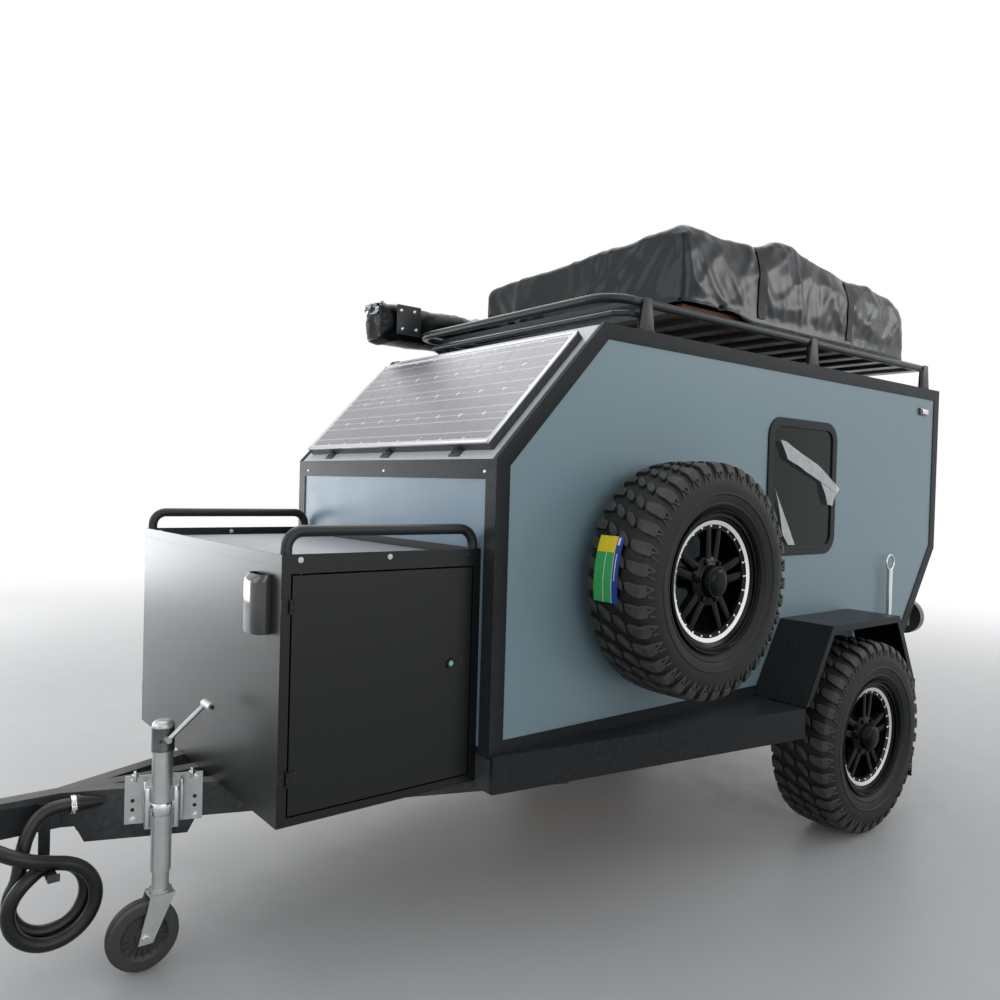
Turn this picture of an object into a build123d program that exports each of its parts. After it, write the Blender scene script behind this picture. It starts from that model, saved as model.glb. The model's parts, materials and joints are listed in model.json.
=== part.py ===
from build123d import *

import os
from math import atan2, cos, degrees, pi, radians, sin, tan

os.makedirs("parts", exist_ok=True)

# Teardrop camper trailer, level on its two road wheels and its jockey wheel.
# Millimetres. +X points to the tail, the left side is -Y, +Z is up. The origin
# is on the ground in the middle of the trailer's length and width.

# Body shell
body_length = 2934
body_width = 1361
floor_z = 575
nose_z = 1493
slope_run = 443
roof_z = 1966
tail_z = 1151
tail_run = 404
panel = 25
edge_proud = 4
edge_band = 50
edge_wrap = 50
slope_wrap = 12
nose_band = 62

# Stance along X
coupling_reach = 1700
hinge_proud = 16
overall_length = coupling_reach + body_length + hinge_proud
nose_x = -overall_length / 2
front_x = nose_x + coupling_reach
rear_x = front_x + body_length
half = body_width / 2
wheel_setback = 1104
wheel_x = rear_x - wheel_setback
wheel_place = body_length - wheel_setback

# Clearances
moving_gap = 5
pin_gap = 0.4
fit_gap = 0.3
knuckle_gap = 1
knuckle_share = 0.45
pin_share = 0.45

# Side window
window_place = 1677
window_x = front_x + window_place
window_z = 1440
window_width = 530
window_height = 580
window_corner = 85
window_band = 38
window_lap = 16
window_proud = 7
pane = 5

# Entrance door on the right side
door_place = 620
door_x = front_x + door_place
door_width = 670
door_z = 640
door_height = 1150
door_corner = 70
door_light_width = 400
door_light_height = 430
door_light_z = 1440
door_knuckle = 40
door_leaf_reach = 55
leaf_sheet = 4
hinge_room = 8
door_hinge_margin = 160
door_handle_margin = 70
door_handle_rise = 500

# Rear hatch
hatch_hinge_radius = 8
hatch_knuckle = 60
hatch_leaf_reach = 80

# Chassis and drawbar
rail_height = 105
rail_width = 60
rail_bottom_z = floor_z - rail_height
beam_height = 100
beam_width = 50
beam_top_z = 491
beam_bottom_z = beam_top_z - beam_height
a_angle = 21.3
a_reach = 1050
a_tail = 420
gusset_depth = 48
gusset_length = 330
gusset_sheet = 8
cross_width = 60
cross_places = [30, 390, wheel_place - 680, wheel_place - 80, body_length - tail_run - 180]

# Front locker
locker_length = 654
locker_margin = 18
locker_width = body_width - 2 * (edge_wrap + locker_margin)
locker_wall = 20
lid_line_z = 1182
lid_height = 33
lid_lip = 4
lid_floor = 5
locker_door_side = 27
locker_door_foot = 23
locker_door_head = 19
locker_door = 20
hinge_radius = 6
locker_knuckle = 20
lock_margin = 80
lock_drop = 312
locker_leaf_reach = 34
locker_leaf_sheet = 3
rail_tube = 32
rail_rise = 76
rail_bend = 48

# Road wheels and spare
tyre_radius = 402
tyre_width = 265
tread_width = 232
tyre_wall = 15
lug_pitches = 20
lug_height = 13
lug_length = 72
lug_shift = 17
lug_start = 60
shoulder_drop = 34
block_length = 60
block_width = 26
block_lean = 38
block_shift = 14
rim_radius = 219
rim_flange_radius = 240
rim_width = 216
rim_wall = 7
face_depth = 24
face_inset = 46
wheel_y = half + 157.5
spare_place = wheel_place - 1108
spare_x = front_x + spare_place
spare_z = 1112
spare_y = -half - 173.5
spoke_count = 5
hub_radius = 84
cap_radius = 56
cap_depth = 52

# Axle and springs
axle_side = 60
spindle_radius = 20
spring_span = 740
spring_leaf = 8
spring_rise = 58
spring_width = 60
spring_seat = 8

# Fenders, steps and flaps
fender_side = half + 242.5
fender_top_z = 889
fender_foot_z = 590
fender_front = wheel_place - 470
fender_top_front = wheel_place - 290
fender_top_rear = wheel_place + 260
fender_rear = wheel_place + 418
fender_sheet = 4
fender_lip = 28
step_side = half + 240.5
step_start = 16
step_top_z = 586
flap_foot_z = 150
flap = 8
flap_width = 235
flap_hanger = 50

# Roof rack, tent and awning
rack_half = half - 60.5
rack_tube = 34
rack_rise = 119
rack_z = roof_z + rack_rise
rack_front = 530
rack_rear = body_length - 29
rack_bend = 110
post_places = [700, wheel_place - 30, body_length - 64]
post_width = 52
post_depth = 8
post_foot = 40
arm_places = [900, wheel_place - 130, body_length - 434]
slat_width = 70
slat_depth = 20
slat_count = 12
slat_rear = body_length - 74
tent_front = 945
tent_rear = body_length - 269
tent_half = half - 80.5
tent_base = 36
tent_foot_z = rack_z + slat_depth / 2 + tent_base
tent_height = 301
tent_hump = 68
hump_places = [560, 700, 960, 1200]
tent_top_z = tent_foot_z + tent_height
tent_hump_z = tent_top_z + tent_hump
bag_front = 380
bag_rear = body_length - 334
bag_y = half + 64.5
bag_rise = 70
bag_z = rack_z + bag_rise
bag_width = 165
bag_height = 205

# Solar panel on the front slope
solar_width = body_width - 107
solar_length = 541
solar_depth = 31
solar_setback = 40

# Jockey wheel
jockey_place = 820
jockey_x = front_x - jockey_place
jockey_y = -200
jockey_top_z = 710
jockey_foot_z = 275
jockey_tube = 57
jockey_wall = 4
leg_tube = 48
leg_top_z = 610
jockey_bore_top = 660
crank_z = 662
crank_run = 105
crank_rise = 90
crank_side = 46
jockey_wheel_radius = 100
jockey_wheel_width = 48
jockey_trail = 46
fork_width = 66
fork_plate = 5
bracket_width = 216
bracket_height = 142
bracket_z = 456

# Rear drop legs
drop_setback = 514
drop_x = rear_x - drop_setback
drop_tube = 26
drop_y = half + 30
drop_top_z = 1060
drop_foot_z = 440
drop_loop = 40
drop_wire = 9
sleeve_rise = 60

# Wiring conduit, its coil on the hook, and its plug in the holder
conduit = 38
coil_place = 1091
coil_x = front_x - coil_place
coil_y = -118
coil_z = 232
coil_radius = 137
coil_inner = 77
hook_z = 306
hook_reach = 166
hook_sheet = 6
plug_place = 253
plug_x = nose_x + plug_place
plug_y = -57
plug_z = 432
plug_radius = 21
plug_length = 96
# Start and end on the route of the conduit, radius at the start, radius at the end
gland_table = [
    ((947, -72, 462), (1011, -68, 466), 11, 22),
    ((1010, -68, 466), (1032, -67, 467), 24, 23),
]
# The conduit's route between the gland and the coil, and on to the plug: distance
# ahead of the body's front, Y, Z
feed_route = [
    (1032, -67, 467),
    (1076, -65, 469),
    (1117, -68, 447),
    (1143, -78, 409),
    (1158, -92, 356),
    (1165, -106, 297),
]
tail_route = [
    (1075, -137, 338),
    (1132, -142, 353),
    (1186, -136, 378),
    (1235, -108, 403),
    (1286, -78, 423),
    (1340, -57, 432),
    (1395, -57, 432),
]


def save(piece, name):
    """Label a finished piece and write it as its own STEP file."""
    piece.part.label = name
    export_step(piece.part, f"parts/{name}.step")


def block(low, high, mode=Mode.ADD):
    """Box between its lowest and its highest corner."""
    centre = [(a + b) / 2 for a, b in zip(low, high)]
    with Locations(tuple(centre)):
        Box(*[b - a for a, b in zip(low, high)], mode=mode)


def bar(start, end, radius, mode=Mode.ADD):
    """Round bar from one point to another."""
    line = Vector(*end) - Vector(*start)
    with BuildSketch(Plane(origin=start, z_dir=line)) as section:
        Circle(radius)
    extrude(section.sketch, amount=line.length, mode=mode)


def mirrored(piece):
    """The same piece on the other side of the trailer."""
    with BuildPart() as twin:
        mirror(piece.part, about=Plane.XZ)
    return twin


def knuckles(middle, along, reach, radius, fixed):
    """Half of a hinge: its outer knuckles and pin, or the bored middle one."""
    middle = Vector(*middle)
    along = Vector(*along)
    if fixed:
        for side in (-1, 1):
            inner_end = middle + along * side * (reach * knuckle_share + knuckle_gap)
            bar(inner_end, middle + along * side * reach, radius)
        bar(middle - along * reach, middle + along * reach, radius * pin_share)
    else:
        inner_reach = along * reach * knuckle_share
        bar(middle - inner_reach, middle + inner_reach, radius)
        bore = radius * pin_share + pin_gap
        bar(middle - along * reach, middle + along * reach, bore, mode=Mode.SUBTRACT)


# Body outline in the XZ plane, from the front foot round over the roof
body_corners = [
    (front_x, floor_z),
    (front_x, nose_z),
    (front_x + slope_run, roof_z),
    (rear_x, roof_z),
    (rear_x, tail_z),
    (rear_x - tail_run, floor_z),
]
slope_angle = degrees(atan2(roof_z - nose_z, slope_run))


def body_outline(grow=0.0):
    """Body outline in the current sketch, grown outward or inward."""
    Polygon(*body_corners, align=None)
    if grow:
        offset(amount=grow, kind=Kind.INTERSECTION)


def side_plane(y):
    """Plane across the trailer at y, drawn with X right and Z up."""
    return Plane(origin=(0, y, 0), x_dir=(1, 0, 0), z_dir=(0, -1, 0))


# Side walls, the full outline in one panel
with BuildPart() as side_wall_left:
    with BuildSketch(side_plane(-half)):
        body_outline()
    extrude(amount=-panel)
    with BuildSketch(side_plane(-half)):
        with Locations((window_x, window_z)):
            RectangleRounded(
                window_width - 2 * window_lap,
                window_height - 2 * window_lap,
                window_corner - window_lap,
            )
    extrude(amount=-panel, mode=Mode.SUBTRACT)
save(side_wall_left, "side_wall_left")

door_mid = door_x + door_width / 2
door_axis_y = half + hinge_radius + 1
door_hinges = (door_z + door_hinge_margin, door_z + door_height - door_hinge_margin)
with BuildPart() as side_wall_right:
    with BuildSketch(side_plane(half)):
        body_outline()
        with Locations((door_mid, door_z + door_height / 2)):
            RectangleRounded(door_width, door_height, door_corner, mode=Mode.SUBTRACT)
    extrude(amount=panel)
    for hinge_z in door_hinges:
        block(
            (door_x - door_leaf_reach, half, hinge_z - door_knuckle),
            (door_x - hinge_room, half + leaf_sheet, hinge_z + door_knuckle),
        )
        for side in (-1, 1):
            tongue_z = hinge_z + side * door_knuckle * (1 + knuckle_share) / 2
            tongue = door_knuckle * (1 - knuckle_share) / 2 - knuckle_gap
            block(
                (door_x - hinge_room - 1, half, tongue_z - tongue),
                (door_x, half + leaf_sheet, tongue_z + tongue),
            )
        knuckles((door_x, door_axis_y, hinge_z), (0, 0, 1), door_knuckle, hinge_radius, True)
save(side_wall_right, "side_wall_right")

# Window frame: a flange outside and a spigot through the wall, pane behind the flange
pane_width = window_width - 2 * window_band
pane_height = window_height - 2 * window_band
pane_corner = window_corner - window_band
spigot_lap = window_lap + fit_gap
with BuildPart() as window_frame:
    with BuildSketch(side_plane(-half)):
        with Locations((window_x, window_z)):
            RectangleRounded(window_width, window_height, window_corner)
            RectangleRounded(pane_width, pane_height, pane_corner, mode=Mode.SUBTRACT)
    extrude(amount=window_proud)
    fillet(window_frame.faces().sort_by(Axis.Y)[0].edges(), radius=window_proud / 2)
    with BuildSketch(side_plane(-half)):
        with Locations((window_x, window_z)):
            RectangleRounded(
                window_width - 2 * spigot_lap,
                window_height - 2 * spigot_lap,
                window_corner - spigot_lap,
            )
            RectangleRounded(
                pane_width + 2 * window_lap / 2,
                pane_height + 2 * window_lap / 2,
                pane_corner + window_lap / 2,
                mode=Mode.SUBTRACT,
            )
    extrude(amount=-panel)
save(window_frame, "window_frame")

with BuildPart() as window_pane:
    with BuildSketch(side_plane(-half)):
        with Locations((window_x, window_z)):
            RectangleRounded(
                pane_width + window_lap, pane_height + window_lap, pane_corner + window_lap / 2
            )
    extrude(amount=-pane)
save(window_pane, "window_pane")

# Floor, front wall, sloping front, roof and tail, all between the side walls
inner = half - panel
with BuildPart() as floor_panel:
    with BuildSketch(side_plane(inner)):
        body_outline()
    extrude(amount=2 * inner)
    block(
        (front_x, -half, floor_z + panel),
        (rear_x, half, roof_z),
        mode=Mode.SUBTRACT,
    )
save(floor_panel, "floor_panel")

with BuildPart() as shell_ring:
    with BuildSketch(side_plane(inner)):
        body_outline()
        body_outline_inner = Polygon(*body_corners, align=None, mode=Mode.PRIVATE)
        offset(body_outline_inner, amount=-panel, kind=Kind.INTERSECTION, mode=Mode.SUBTRACT)
    extrude(amount=2 * inner)


def ring_part(low, high):
    """Stretch of the shell ring between two corners of a box."""
    with BuildPart() as piece:
        add(shell_ring.part)
        with Locations(tuple((a + b) / 2 for a, b in zip(low, high))):
            Box(*[b - a for a, b in zip(low, high)], mode=Mode.INTERSECT)
    return piece


front_wall = ring_part(
    (front_x, -half, floor_z + panel), (front_x + panel, half, nose_z - panel)
)
save(front_wall, "front_wall")

front_slope = ring_part(
    (front_x, -half, nose_z - panel), (front_x + slope_run, half, roof_z)
)
save(front_slope, "front_slope")

# The roof carries the fixed halves of the hatch's hinges
hatch_half = inner - moving_gap
hatch_axis_z = roof_z + hatch_hinge_radius
hatch_axis_x = rear_x + hatch_hinge_radius
hatch_hinges = (-hatch_half + 120, 0, hatch_half - 120)
with BuildPart() as roof_panel:
    add(
        ring_part(
            (front_x + slope_run, -half, roof_z - panel),
            (rear_x - panel - moving_gap, half, roof_z),
        ).part
    )
    for hinge_y in hatch_hinges:
        block(
            (rear_x - hatch_leaf_reach, hinge_y - hatch_knuckle, roof_z),
            (rear_x - moving_gap, hinge_y + hatch_knuckle, roof_z + leaf_sheet),
        )
        for side in (-1, 1):
            tongue_y = hinge_y + side * hatch_knuckle * (1 + knuckle_share) / 2
            tongue = hatch_knuckle * (1 - knuckle_share) / 2 - knuckle_gap
            block(
                (rear_x - moving_gap - 1, tongue_y - tongue, roof_z),
                (hatch_axis_x, tongue_y + tongue, roof_z + leaf_sheet),
            )
        knuckles(
            (hatch_axis_x, hinge_y, hatch_axis_z), (0, 1, 0), hatch_knuckle, hatch_hinge_radius, True
        )
save(roof_panel, "roof_panel")

hatch_foot_z = tail_z + moving_gap
tail_panel = ring_part(
    (rear_x - tail_run - 2 * panel, -half, floor_z + panel), (rear_x, half, tail_z)
)
save(tail_panel, "tail_panel")

# Bent trim across the top of the front wall
trim_reach = 2 * (half - edge_wrap - fit_gap)
with BuildPart() as nose_trim:
    with BuildSketch(side_plane(trim_reach / 2)):
        body_outline(edge_proud)
        nose_core = Polygon(*body_corners, align=None, mode=Mode.PRIVATE)
        add(nose_core, mode=Mode.SUBTRACT)
        with Locations((front_x, nose_z)):
            Circle(nose_band, mode=Mode.INTERSECT)
    extrude(amount=trim_reach)
    block(
        (front_x - panel, -half, nose_z),
        (front_x + slope_run, half, roof_z),
        mode=Mode.SUBTRACT,
    )

# Angle trims round the edge of each side
with BuildPart() as edge_trims:
    with BuildSketch(side_plane(-half + edge_wrap)):
        body_outline(edge_proud)
        add(Polygon(*body_corners, align=None, mode=Mode.PRIVATE), mode=Mode.SUBTRACT)
    extrude(amount=edge_wrap)
    with BuildSketch(side_plane(-half)):
        body_outline(edge_proud)
        trim_hole = Polygon(*body_corners, align=None, mode=Mode.PRIVATE)
        offset(trim_hole, amount=-edge_band, kind=Kind.INTERSECTION, mode=Mode.SUBTRACT)
    extrude(amount=edge_proud)
    # Room for the hatch and the tail panel, the sill and the sheet on the slope
    for low, high in (
        ((rear_x - tail_run - panel, -half + panel, floor_z), (rear_x + panel, 0, roof_z - 1)),
        ((rear_x - panel - moving_gap, -half + panel, roof_z - panel), (rear_x + panel, 0, roof_z + panel)),
        ((front_x - panel, -half - panel, floor_z - panel), (rear_x, 0, floor_z)),
        ((front_x - panel, -half + slope_wrap, nose_z), (front_x + slope_run, 0, roof_z + edge_proud)),
    ):
        block(low, high, mode=Mode.SUBTRACT)
    mirror(about=Plane.XZ)
    add(nose_trim.part)
save(edge_trims, "edge_trims")

# Bulkhead between cabin and galley, galley counter and mattress
bulkhead_margin = 180
bulkhead_x = rear_x - tail_run - bulkhead_margin
counter_z = tail_z - 60
counter_rear_x = rear_x - panel - 95
with BuildPart() as galley_wall:
    block(
        (bulkhead_x - panel / 2, -inner, floor_z + panel),
        (bulkhead_x + panel / 2, inner, roof_z - panel),
    )
    block(
        (bulkhead_x + panel / 2, -inner, counter_z - panel),
        (counter_rear_x, inner, counter_z),
    )
save(galley_wall, "galley_wall")

mattress_gap = 15
mattress_height = 100
with BuildPart() as mattress:
    block(
        (front_x + panel + mattress_gap, -inner + mattress_gap, floor_z + panel),
        (bulkhead_x - panel / 2 - mattress_gap, inner - mattress_gap, floor_z + panel + mattress_height),
    )
    fillet(mattress.edges().filter_by(Axis.Z), radius=40)
save(mattress, "mattress")

# Entrance door with its window, hung at its front edge
door_leaf = door_width - 2 * moving_gap
with BuildPart() as entrance_door:
    with BuildSketch(side_plane(half)):
        with Locations((door_mid, door_z + door_height / 2)):
            RectangleRounded(
                door_leaf, door_height - 2 * moving_gap, door_corner - moving_gap
            )
        with Locations((door_mid, door_light_z)):
            RectangleRounded(
                door_light_width, door_light_height, door_corner, mode=Mode.SUBTRACT
            )
    extrude(amount=panel)
    for hinge_z in door_hinges:
        tongue = door_knuckle * knuckle_share
        block(
            (door_x + hinge_room, half, hinge_z - door_knuckle),
            (door_x + door_leaf_reach, half + leaf_sheet, hinge_z + door_knuckle),
        )
        block(
            (door_x, half, hinge_z - tongue),
            (door_x + hinge_room + 1, half + leaf_sheet, hinge_z + tongue),
        )
        knuckles((door_x, door_axis_y, hinge_z), (0, 0, 1), door_knuckle, hinge_radius, False)
    with BuildSketch(side_plane(half)):
        with Locations((door_x + door_width - door_handle_margin, door_z + door_handle_rise)):
            SlotCenterToCenter(70, 46, rotation=90)
    extrude(amount=-14)
save(entrance_door, "entrance_door")

with BuildPart() as door_pane:
    with BuildSketch(side_plane(half - panel / 2)):
        with Locations((door_mid, door_light_z)):
            RectangleRounded(door_light_width, door_light_height, door_corner)
    extrude(amount=pane)
save(door_pane, "door_pane")

# Rear hatch, hung along the roof's rear edge
with BuildPart() as rear_hatch:
    block(
        (rear_x - panel, -hatch_half, hatch_foot_z),
        (rear_x, hatch_half, roof_z - moving_gap),
    )
    for hinge_y in hatch_hinges:
        tongue = hatch_knuckle * knuckle_share
        block(
            (rear_x, hinge_y - tongue, roof_z - 70),
            (rear_x + leaf_sheet, hinge_y + tongue, hatch_axis_z),
        )
        knuckles(
            (hatch_axis_x, hinge_y, hatch_axis_z), (0, 1, 0), hatch_knuckle, hatch_hinge_radius, False
        )
    block(
        (rear_x, -70, hatch_foot_z + 50),
        (rear_x + 14, 70, hatch_foot_z + 90),
    )
save(rear_hatch, "rear_hatch")

# Chassis rails under the side walls, cross members between them
rail_outer = half + edge_proud
sleeve_side = drop_tube + 14
with BuildPart() as chassis_rails:
    with BuildSketch(side_plane(-rail_outer)):
        Polygon(
            (front_x, rail_bottom_z),
            (front_x, floor_z),
            (rear_x - tail_run, floor_z),
            (rear_x - tail_run - rail_height / 2, rail_bottom_z),
            align=None,
        )
    extrude(amount=-rail_width)
    block(
        (drop_x - sleeve_side / 2, -drop_y - sleeve_side / 2, rail_bottom_z),
        (drop_x + sleeve_side / 2, -rail_outer, floor_z + sleeve_rise),
    )
    bar(
        (drop_x, -drop_y, rail_bottom_z - 1),
        (drop_x, -drop_y, floor_z + sleeve_rise + 1),
        drop_tube / 2 + pin_gap,
        mode=Mode.SUBTRACT,
    )
    mirror(about=Plane.XZ)
save(chassis_rails, "chassis_rails")

cross_half = rail_outer - rail_width
with BuildPart() as cross_members:
    for place in cross_places:
        block(
            (front_x + place - cross_width / 2, -cross_half, beam_top_z),
            (front_x + place + cross_width / 2, cross_half, floor_z),
        )
save(cross_members, "cross_members")

# Drawbar: a centre beam and two rails that meet it
a_slope = tan(radians(a_angle))
a_start_x = front_x - a_reach
a_end_x = front_x + a_tail
a_skew = beam_width / cos(radians(a_angle))
a_outer_end = beam_width / 2 + (a_end_x - a_start_x) * a_slope
gusset_place = 860
a_plane_x = front_x - gusset_place


def a_rail_y(x):
    """Distance from the middle to the outer face of a drawbar rail at x."""
    return beam_width / 2 + (x - a_start_x) * a_slope


with BuildPart() as drawbar_rails:
    with BuildSketch(Plane.XY.offset(beam_bottom_z)):
        Polygon(
            (a_start_x, -beam_width / 2),
            (a_end_x, -a_outer_end),
            (a_end_x, -a_outer_end + a_skew),
            (a_start_x + a_skew / a_slope, -beam_width / 2),
            align=None,
        )
    extrude(amount=beam_height)
    gusset_plane = Plane(
        origin=(a_plane_x, -a_rail_y(a_plane_x), beam_bottom_z),
        x_dir=(cos(radians(a_angle)), -sin(radians(a_angle)), 0),
        z_dir=(-sin(radians(a_angle)), -cos(radians(a_angle)), 0),
    )
    with BuildSketch(gusset_plane):
        Polygon(
            (-gusset_length / 2, 0),
            (gusset_length / 2, 0),
            (gusset_length / 2 - gusset_depth / 2, -gusset_depth),
            (-gusset_length / 2 + gusset_depth / 2, -gusset_depth),
            align=None,
        )
    extrude(amount=-gusset_sheet)
    mirror(about=Plane.XZ)
save(drawbar_rails, "drawbar_rails")

beam_start_x = nose_x + 70
eye_x = beam_start_x + 260
with BuildPart() as centre_beam:
    block(
        (beam_start_x, -beam_width / 2, beam_bottom_z),
        (a_end_x, beam_width / 2, beam_top_z),
    )
    for side in (-1, 1):
        with BuildSketch(Plane.XY.offset(beam_bottom_z)):
            with Locations((eye_x, side * (beam_width / 2 + 22))):
                RectangleRounded(60, 56, 20)
            with Locations((eye_x, side * (beam_width / 2 + 28))):
                Circle(10, mode=Mode.SUBTRACT)
        extrude(amount=10)
    # Hook for the coiled conduit, and a holder for its parked plug
    block(
        (coil_x - 15, -beam_width / 2 - hook_sheet, hook_z - hook_sheet),
        (coil_x + 15, -beam_width / 2, beam_top_z - 20),
    )
    block(
        (coil_x - 15, -hook_reach, hook_z - hook_sheet),
        (coil_x + 15, -beam_width / 2, hook_z),
    )
    block(
        (coil_x - 15, -hook_reach - hook_sheet, hook_z - hook_sheet),
        (coil_x + 15, -hook_reach, hook_z + 14),
    )
    block(
        (plug_x - 50, plug_y - plug_radius - 8, plug_z - plug_radius - 8),
        (plug_x, -beam_width / 2, plug_z + plug_radius + 8),
    )
    bar(
        (plug_x - 44, plug_y, plug_z),
        (plug_x + 1, plug_y, plug_z),
        plug_radius + pin_gap,
        mode=Mode.SUBTRACT,
    )
save(centre_beam, "centre_beam")

# Ball coupling on the nose: a dome over the tow ball and a shank on the beam
ball_radius = 25
ball_wall = 9
ball_x = nose_x + ball_radius + ball_wall
ball_z = beam_top_z - 6
with BuildPart() as coupling:
    with Locations((ball_x, 0, ball_z)):
        Sphere(ball_radius + ball_wall)
    block(
        (ball_x, -32, ball_z - 26), (beam_start_x + 120, 32, ball_z + 34)
    )
    block(
        (beam_start_x, -beam_width / 2, beam_bottom_z),
        (a_end_x, beam_width / 2, beam_top_z),
        mode=Mode.SUBTRACT,
    )
    with Locations((ball_x, 0, ball_z)):
        Sphere(ball_radius + pin_gap, mode=Mode.SUBTRACT)
    with Locations((ball_x, 0, ball_z - 40)):
        Cylinder(ball_radius + pin_gap, 80, mode=Mode.SUBTRACT)
    block(
        (nose_x - 1, -60, ball_z - 60), (ball_x + 40, 60, ball_z - 12), mode=Mode.SUBTRACT
    )
    bar((ball_x + 30, 0, ball_z + 30), (ball_x + 30, 0, ball_z + 52), 9)
    block((ball_x + 20, -10, ball_z + 48), (ball_x + 130, 10, ball_z + 58))
save(coupling, "coupling")

# Front locker: shell, tray lid, two doors, rails and lamp
locker_x = front_x - locker_length
locker_half = locker_width / 2
lid_top_z = lid_line_z + lid_height
opening_x0 = locker_x + locker_door_side
opening_x1 = front_x - locker_door_side
opening_z0 = beam_top_z + locker_door_foot
opening_z1 = lid_line_z - locker_door_head
locker_axis_y = locker_half + hinge_radius + 1
locker_hinges = (lid_line_z - 105, opening_z0 + 105)
with BuildPart() as locker_shell:
    block(
        (locker_x, -locker_half, beam_top_z), (front_x, locker_half, lid_line_z)
    )
    block(
        (locker_x + locker_wall, -locker_half + locker_wall, beam_top_z + locker_wall),
        (front_x - locker_wall, locker_half - locker_wall, lid_line_z),
        mode=Mode.SUBTRACT,
    )
    block(
        (opening_x0, -locker_half, opening_z0),
        (opening_x1, locker_half, opening_z1),
        mode=Mode.SUBTRACT,
    )
    for side in (-1, 1):
        for hinge_z in locker_hinges:
            inner_y = side * locker_half
            outer_y = side * (locker_half + locker_leaf_sheet)
            block(
                (locker_x, min(inner_y, outer_y), hinge_z - locker_knuckle),
                (opening_x0 - hinge_room, max(inner_y, outer_y), hinge_z + locker_knuckle),
            )
            for end in (-1, 1):
                tongue_z = hinge_z + end * locker_knuckle * (1 + knuckle_share) / 2
                tongue = locker_knuckle * (1 - knuckle_share) / 2 - knuckle_gap
                block(
                    (opening_x0 - hinge_room - 1, min(inner_y, outer_y), tongue_z - tongue),
                    (opening_x0, max(inner_y, outer_y), tongue_z + tongue),
                )
            knuckles(
                (opening_x0, side * locker_axis_y, hinge_z),
                (0, 0, 1),
                locker_knuckle,
                hinge_radius,
                True,
            )
save(locker_shell, "locker_shell")

with BuildPart() as locker_lid:
    block(
        (locker_x, -locker_half, lid_line_z), (front_x, locker_half, lid_top_z)
    )
    block(
        (locker_x + lid_lip, -locker_half + lid_lip, lid_line_z + lid_floor),
        (front_x - lid_lip, locker_half - lid_lip, lid_top_z),
        mode=Mode.SUBTRACT,
    )
save(locker_lid, "locker_lid")

rail_y = locker_half - lid_lip - rail_tube / 2
rail_top = lid_top_z + rail_rise - rail_tube / 2
with BuildPart() as locker_rails:
    for side in (-1, 1):
        with BuildLine() as rail_path:
            FilletPolyline(
                (locker_x + lid_lip + rail_tube / 2, side * rail_y, lid_line_z + lid_floor),
                (locker_x + lid_lip + rail_tube / 2, side * rail_y, rail_top),
                (front_x - lid_lip - rail_tube / 2, side * rail_y, rail_top),
                (front_x - lid_lip - rail_tube / 2, side * rail_y, lid_line_z + lid_floor),
                radius=rail_bend,
            )
        with BuildSketch(Plane(origin=rail_path.line @ 0, z_dir=rail_path.line % 0)):
            Circle(rail_tube / 2)
        sweep(path=rail_path.line)
save(locker_rails, "locker_rails")

# Locker doors, hung at their front edges
with BuildPart() as locker_door_left:
    block(
        (opening_x0 + moving_gap, -locker_half, opening_z0 + moving_gap),
        (opening_x1 - moving_gap, -locker_half + locker_door, opening_z1 - moving_gap),
    )
    for hinge_z in locker_hinges:
        tongue = locker_knuckle * knuckle_share
        block(
            (opening_x0 + hinge_room, -locker_half - locker_leaf_sheet, hinge_z - locker_knuckle),
            (opening_x0 + locker_leaf_reach, -locker_half, hinge_z + locker_knuckle),
        )
        block(
            (opening_x0, -locker_half - locker_leaf_sheet, hinge_z - tongue),
            (opening_x0 + hinge_room + 1, -locker_half, hinge_z + tongue),
        )
        knuckles(
            (opening_x0, -locker_axis_y, hinge_z), (0, 0, 1), locker_knuckle, hinge_radius, False
        )
    with BuildSketch(side_plane(-locker_half)):
        with Locations((opening_x1 - lock_margin, lid_line_z - lock_drop)):
            Circle(14)
    extrude(amount=6)
save(locker_door_left, "locker_door_left")
locker_door_right = mirrored(locker_door_left)
save(locker_door_right, "locker_door_right")

lamp_radius = 55
lamp_proud = 42
lamp_margin = 122.5
lamp_height = 160
lamp_foot_z = 995
lamp_y = lamp_margin - locker_half
with BuildPart() as locker_lamp:
    with BuildSketch(Plane.XY.offset(lamp_foot_z)):
        with Locations((locker_x, lamp_y)):
            Ellipse(lamp_proud, lamp_radius)
        with Locations((locker_x + lamp_radius, lamp_y)):
            Rectangle(2 * lamp_radius, 2 * lamp_radius, mode=Mode.SUBTRACT)
    extrude(amount=lamp_height)
save(locker_lamp, "locker_lamp")

# Solar panel, seated on the front slope
slope_plane = Plane(
    origin=(front_x, 0, nose_z),
    x_dir=(cos(radians(slope_angle)), 0, sin(radians(slope_angle))),
    z_dir=(-sin(radians(slope_angle)), 0, cos(radians(slope_angle))),
)
with BuildPart() as solar_panel:
    with BuildSketch(slope_plane):
        with Locations((solar_setback + solar_length / 2, 0)):
            Rectangle(solar_length, solar_width)
    extrude(amount=solar_depth)
save(solar_panel, "solar_panel")

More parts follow.
